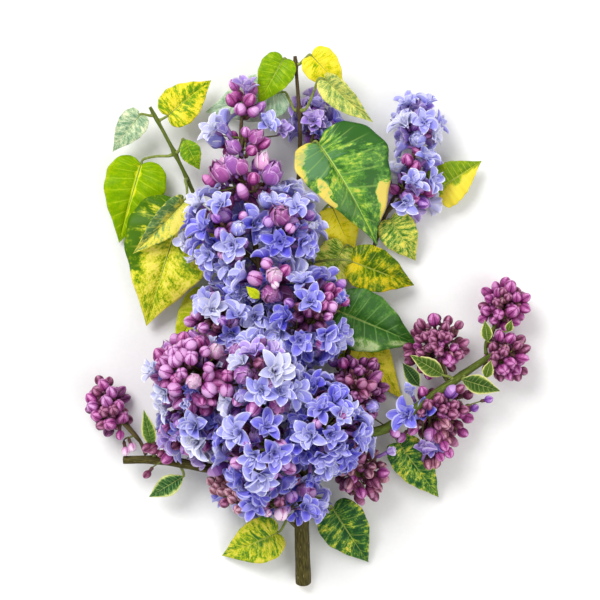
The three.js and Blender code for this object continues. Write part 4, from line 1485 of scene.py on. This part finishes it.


# Deeper flowers: how far from the middle of a mass they are, as a share of the outer ones, what share of the
# outer ones has one behind it, and what share of the other florets has a bud there instead.
# their tones are mostly darker ones, painted shade deep in a mass
behindDetail = {"depth": (0.5, 0.72), "shift": 2.5, "backed": 0.8, "bare": 0.0, "buds": 0.36, "florets": 0.3,
                "instead": 0.5, "budTones": ("dusty", "brown", "magenta"), "size": 0.9,
                "insteadTones": ("plum", "purple"), "insteadSize": 1.2}


# deeper flowers that close the gaps between the outer ones; their mostly darker tones are painted shade in
# the gaps
def fillBehind():
    draw = random.Random(8)
    for site in list(sites):
        name, isBud, mix = site["mass"], site["isBud"], mixes[site["mass"]]
        middle = massPlaces[name][0]
        place = middle + (site["place"] - middle) * draw.uniform(*behindDetail["depth"])
        place = place + jitter(draw, behindDetail["shift"]) * mm
        room = isClear(place, deepClearance) and place[2] > lowestBehind
        case = "backed" if mix["backed"] else "bare" if mix["bare"] else "buds" if isBud else "florets"
        if draw.random() < behindDetail[case] and room:
            kind, tones = ("bud", behindDetail["budTones"]) if isBud else ("double", mix["behind"])
            addFill(name, place, site["way"], kind, draw.choice(tones), draw, behindDetail["size"])
        elif draw.random() < behindDetail["instead"] and room and not isBud and not mix["bare"]:
            tone = draw.choice(behindDetail["insteadTones"])
            addFill(name, place, site["way"], "bud", tone, draw, behindDetail["insteadSize"])


setByHand()
fillMasses()
outerCount = len(sites)
fillBehind()
print("flowers placed:", {kind: sum(s["kind"] == kind for s in sites) for kind in kinds}, "outer", outerCount)


def turnedTo(way, spin):
    side, over = perpendicular(way)
    across = math.cos(spin) * side + math.sin(spin) * over
    return np.stack([across, np.cross(way, across), way])


largestPiece = 90000  # faces
pieces = []


# the open piece for a slot and a kind, or a new one when that is full
def pieceFor(slot, kind):
    for entry in pieces:
        if entry["slot"] == slot and entry["kind"] == kind and len(entry["batch"]["faces"]) < largestPiece:
            return entry
    number = 1 + sum(e["slot"] == slot and e["kind"] == kind for e in pieces)
    pieces.append({"slot": slot, "kind": kind, "name": f"{slot}_{kind}_{number}", "batch": emptyBatch(),
                   "masses": set()})
    return pieces[-1]


petalOrder, budOrder = list(petalTones), list(budTones)
# A flower turns a little at random, but not far down. The tube behind it is so many millimetres long.
flowerDetail = {"turn": 0.18, "down": -0.5, "lowest": 0.3 * mm, "openLength": (6.5, 8.5),
                "length": (2.5, 4.5), "lowestFoot": 2 * mm}


def addFlower(site, draw):
    isBud, isOpen = site["isBud"], site["kind"] in openKinds
    way = site["way"] + jitter(draw, flowerDetail["turn"])
    way[2] = max(way[2], flowerDetail["down"])
    way = unit(way)
    isCrossed = site["kind"] == "bud" and site["tone"] in crossedTones
    points, faces, zones = draw.choice(shapes["crossed" if isCrossed else site["kind"]])
    placed = site["origin"] + (points * site["size"]) @ turnedTo(way, draw.uniform(0, 2 * math.pi))
    placed[:, 2] = np.maximum(placed[:, 2], flowerDetail["lowest"])
    first = zoneCount * (budOrder if isBud else petalOrder).index(site["tone"])
    entry = pieceFor(slotOf[site["mass"]], "buds" if isBud else "petals")
    addTo(entry["batch"], placed, faces, zones + first)
    entry["masses"].add(site["mass"])
    behind = 0.0 if isOpen else -points[:, 2].min() * site["size"]
    length = draw.uniform(*flowerDetail["openLength" if isOpen else "length"])
    site["mouth"] = site["origin"] - way * behind
    site["foot"] = site["mouth"] - way * length * mm
    site["foot"][2] = max(site["foot"][2], flowerDetail["lowestFoot"])
    site["way"] = way


flowerDraw = random.Random(21)
for flower in sites:
    addFlower(flower, flowerDraw)
print("petals and buds made")

# Twigs: their radii, how they taper, and how far they bend.
twigs = emptyBatch()
twigDetail = {"flowersPerHub": 5, "axis": 1.0 * mm, "axisTaper": (1.25, 0.75), "axisBend": 2 * mm,
              "branchlet": 0.65 * mm, "branchletTaper": (1.1, 0.8), "branchletBend": 0.6 * mm,
              "pedicel": 0.45 * mm, "pedicelBend": 1.5 * mm, "tube": (0.55, 1.15, 1.0, 1.15)}


def bentLine(start, end, pull, count):
    share = np.linspace(0, 1, count)[:, None]
    knee = (start + end) / 2 + pull
    return (1 - share) ** 2 * start + 2 * share * (1 - share) * knee + share**2 * end


# feet of flowers that are far apart
def hubsOf(feet):
    hubs = [feet[0]]
    while len(hubs) < max(1, len(feet) // twigDetail["flowersPerHub"]):
        away = np.min([np.linalg.norm(feet - hub, axis=1) for hub in hubs], axis=0)
        hubs.append(feet[int(away.argmax())])
    return hubs


# a branchlet from the axis of a mass halfway to a hub; it gives its end
def addBranchlet(axis, hub, shade):
    near = axis[min(int(np.linalg.norm(axis - hub, axis=1).argmin()), 5)]
    joint = near + (hub - near) * 0.5
    addTube(twigs, bentLine(near, joint, upward * twigDetail["branchletBend"], 5),
            np.linspace(*twigDetail["branchletTaper"], 5) * twigDetail["branchlet"], 6, shade)
    return joint


# a pedicel from a branchlet to the foot of a flower, and the tube that carries the flower
def addPedicel(site, joint, shade):
    addTube(twigs, bentLine(joint, site["foot"], -site["way"] * twigDetail["pedicelBend"], 5),
            np.full(5, twigDetail["pedicel"]), 5, shade)
    tube = site["foot"] + (site["mouth"] - site["foot"]) * np.linspace(0, 1, 4)[:, None]
    addTube(twigs, tube, np.array(twigDetail["tube"]) * mm, 6, 2 if site["isBud"] else 3)


# a side axis from the limb into each mass, branchlets from it, and a pedicel to each flower
def growTwigs():
    draw = random.Random(3)
    for name in massNames:
        own = [site for site in sites if site["mass"] == name]
        if not own:
            continue
        start = nearestOnLimb(roots[name])[0]
        axis = bentLine(start, massPlaces[name][0], upward * twigDetail["axisBend"], 7)
        addTube(twigs, axis, np.linspace(*twigDetail["axisTaper"], 7) * twigDetail["axis"], 8, 1)
        hubs = hubsOf(np.array([site["foot"] for site in own]))
        joints = [addBranchlet(axis, hub, draw.choice((0, 1))) for hub in hubs]
        for site in own:
            joint = min(joints, key=lambda j: np.linalg.norm(j - site["foot"]))
            addPedicel(site, joint, draw.choice((0, 1, 2)))


growTwigs()
makePiece("flower_twigs", twigs, stalkFinishes, massNames, "purple_stalk")
for entry in pieces:
    finishes = petalFinishes if entry["kind"] == "petals" else budFinishes
    piece = makePiece(entry["name"], entry["batch"], finishes, sorted(entry["masses"]), entry["slot"])
    piece.data.calc_loop_triangles()
    print(entry["name"], len(piece.data.loop_triangles), "triangles")


# studio

studio = {
    "floor": 6, "paper": [(244, 244, 242), (250, 250, 249)], "air": 0.55,
    "lamps": {"key": {"at": (-0.7, 0.9, 1.5), "size": 0.9, "power": 26},
              "fill": {"at": (0.9, -0.5, 1.2), "size": 1.2, "power": 9}},
}


def makeFloor():
    bpy.ops.mesh.primitive_plane_add(size=studio["floor"])
    ground = bpy.context.object
    ground.name = "studio_floor"
    finish, tree, surface = startFinish("floor_paper", 0.9, 0.1)
    place = tree.nodes.new("ShaderNodeTexCoord")
    grain = noiseOf(tree, place.outputs["Object"], 400.0, 2.0)
    tone = rampOf(tree, grain, list(zip((0.0, 1.0), studio["paper"])))
    tree.links.new(tone, surface.inputs["Base Color"])
    ground.data.materials.append(finish)


def makeLights():
    world = bpy.data.worlds.new("studio")
    bpy.context.scene.world = world
    world.use_nodes = True
    world.node_tree.nodes["Background"].inputs["Color"].default_value = (1, 1, 1, 1)
    world.node_tree.nodes["Background"].inputs["Strength"].default_value = studio["air"]
    for name, lamp in studio["lamps"].items():
        light = bpy.data.lights.new(name, "AREA")
        light.size = lamp["size"]
        light.energy = lamp["power"]
        holder = bpy.data.objects.new(name, light)
        holder.location = lamp["at"]
        holder.rotation_euler = (-Vector(lamp["at"])).to_track_quat("-Z", "Y").to_euler()
        bpy.context.scene.collection.objects.link(holder)


def makeCamera():
    camera = bpy.data.cameras.new("camera")
    camera.lens = camera.sensor_width * (view["height"] - view["level"]) / view["across"]
    holder = bpy.data.objects.new("camera", camera)
    holder.location = eye
    bpy.context.scene.collection.objects.link(holder)
    bpy.context.scene.camera = holder


makeFloor()
makeLights()
makeCamera()
bpy.context.scene.view_settings.view_transform = "Standard"
print("studio made")
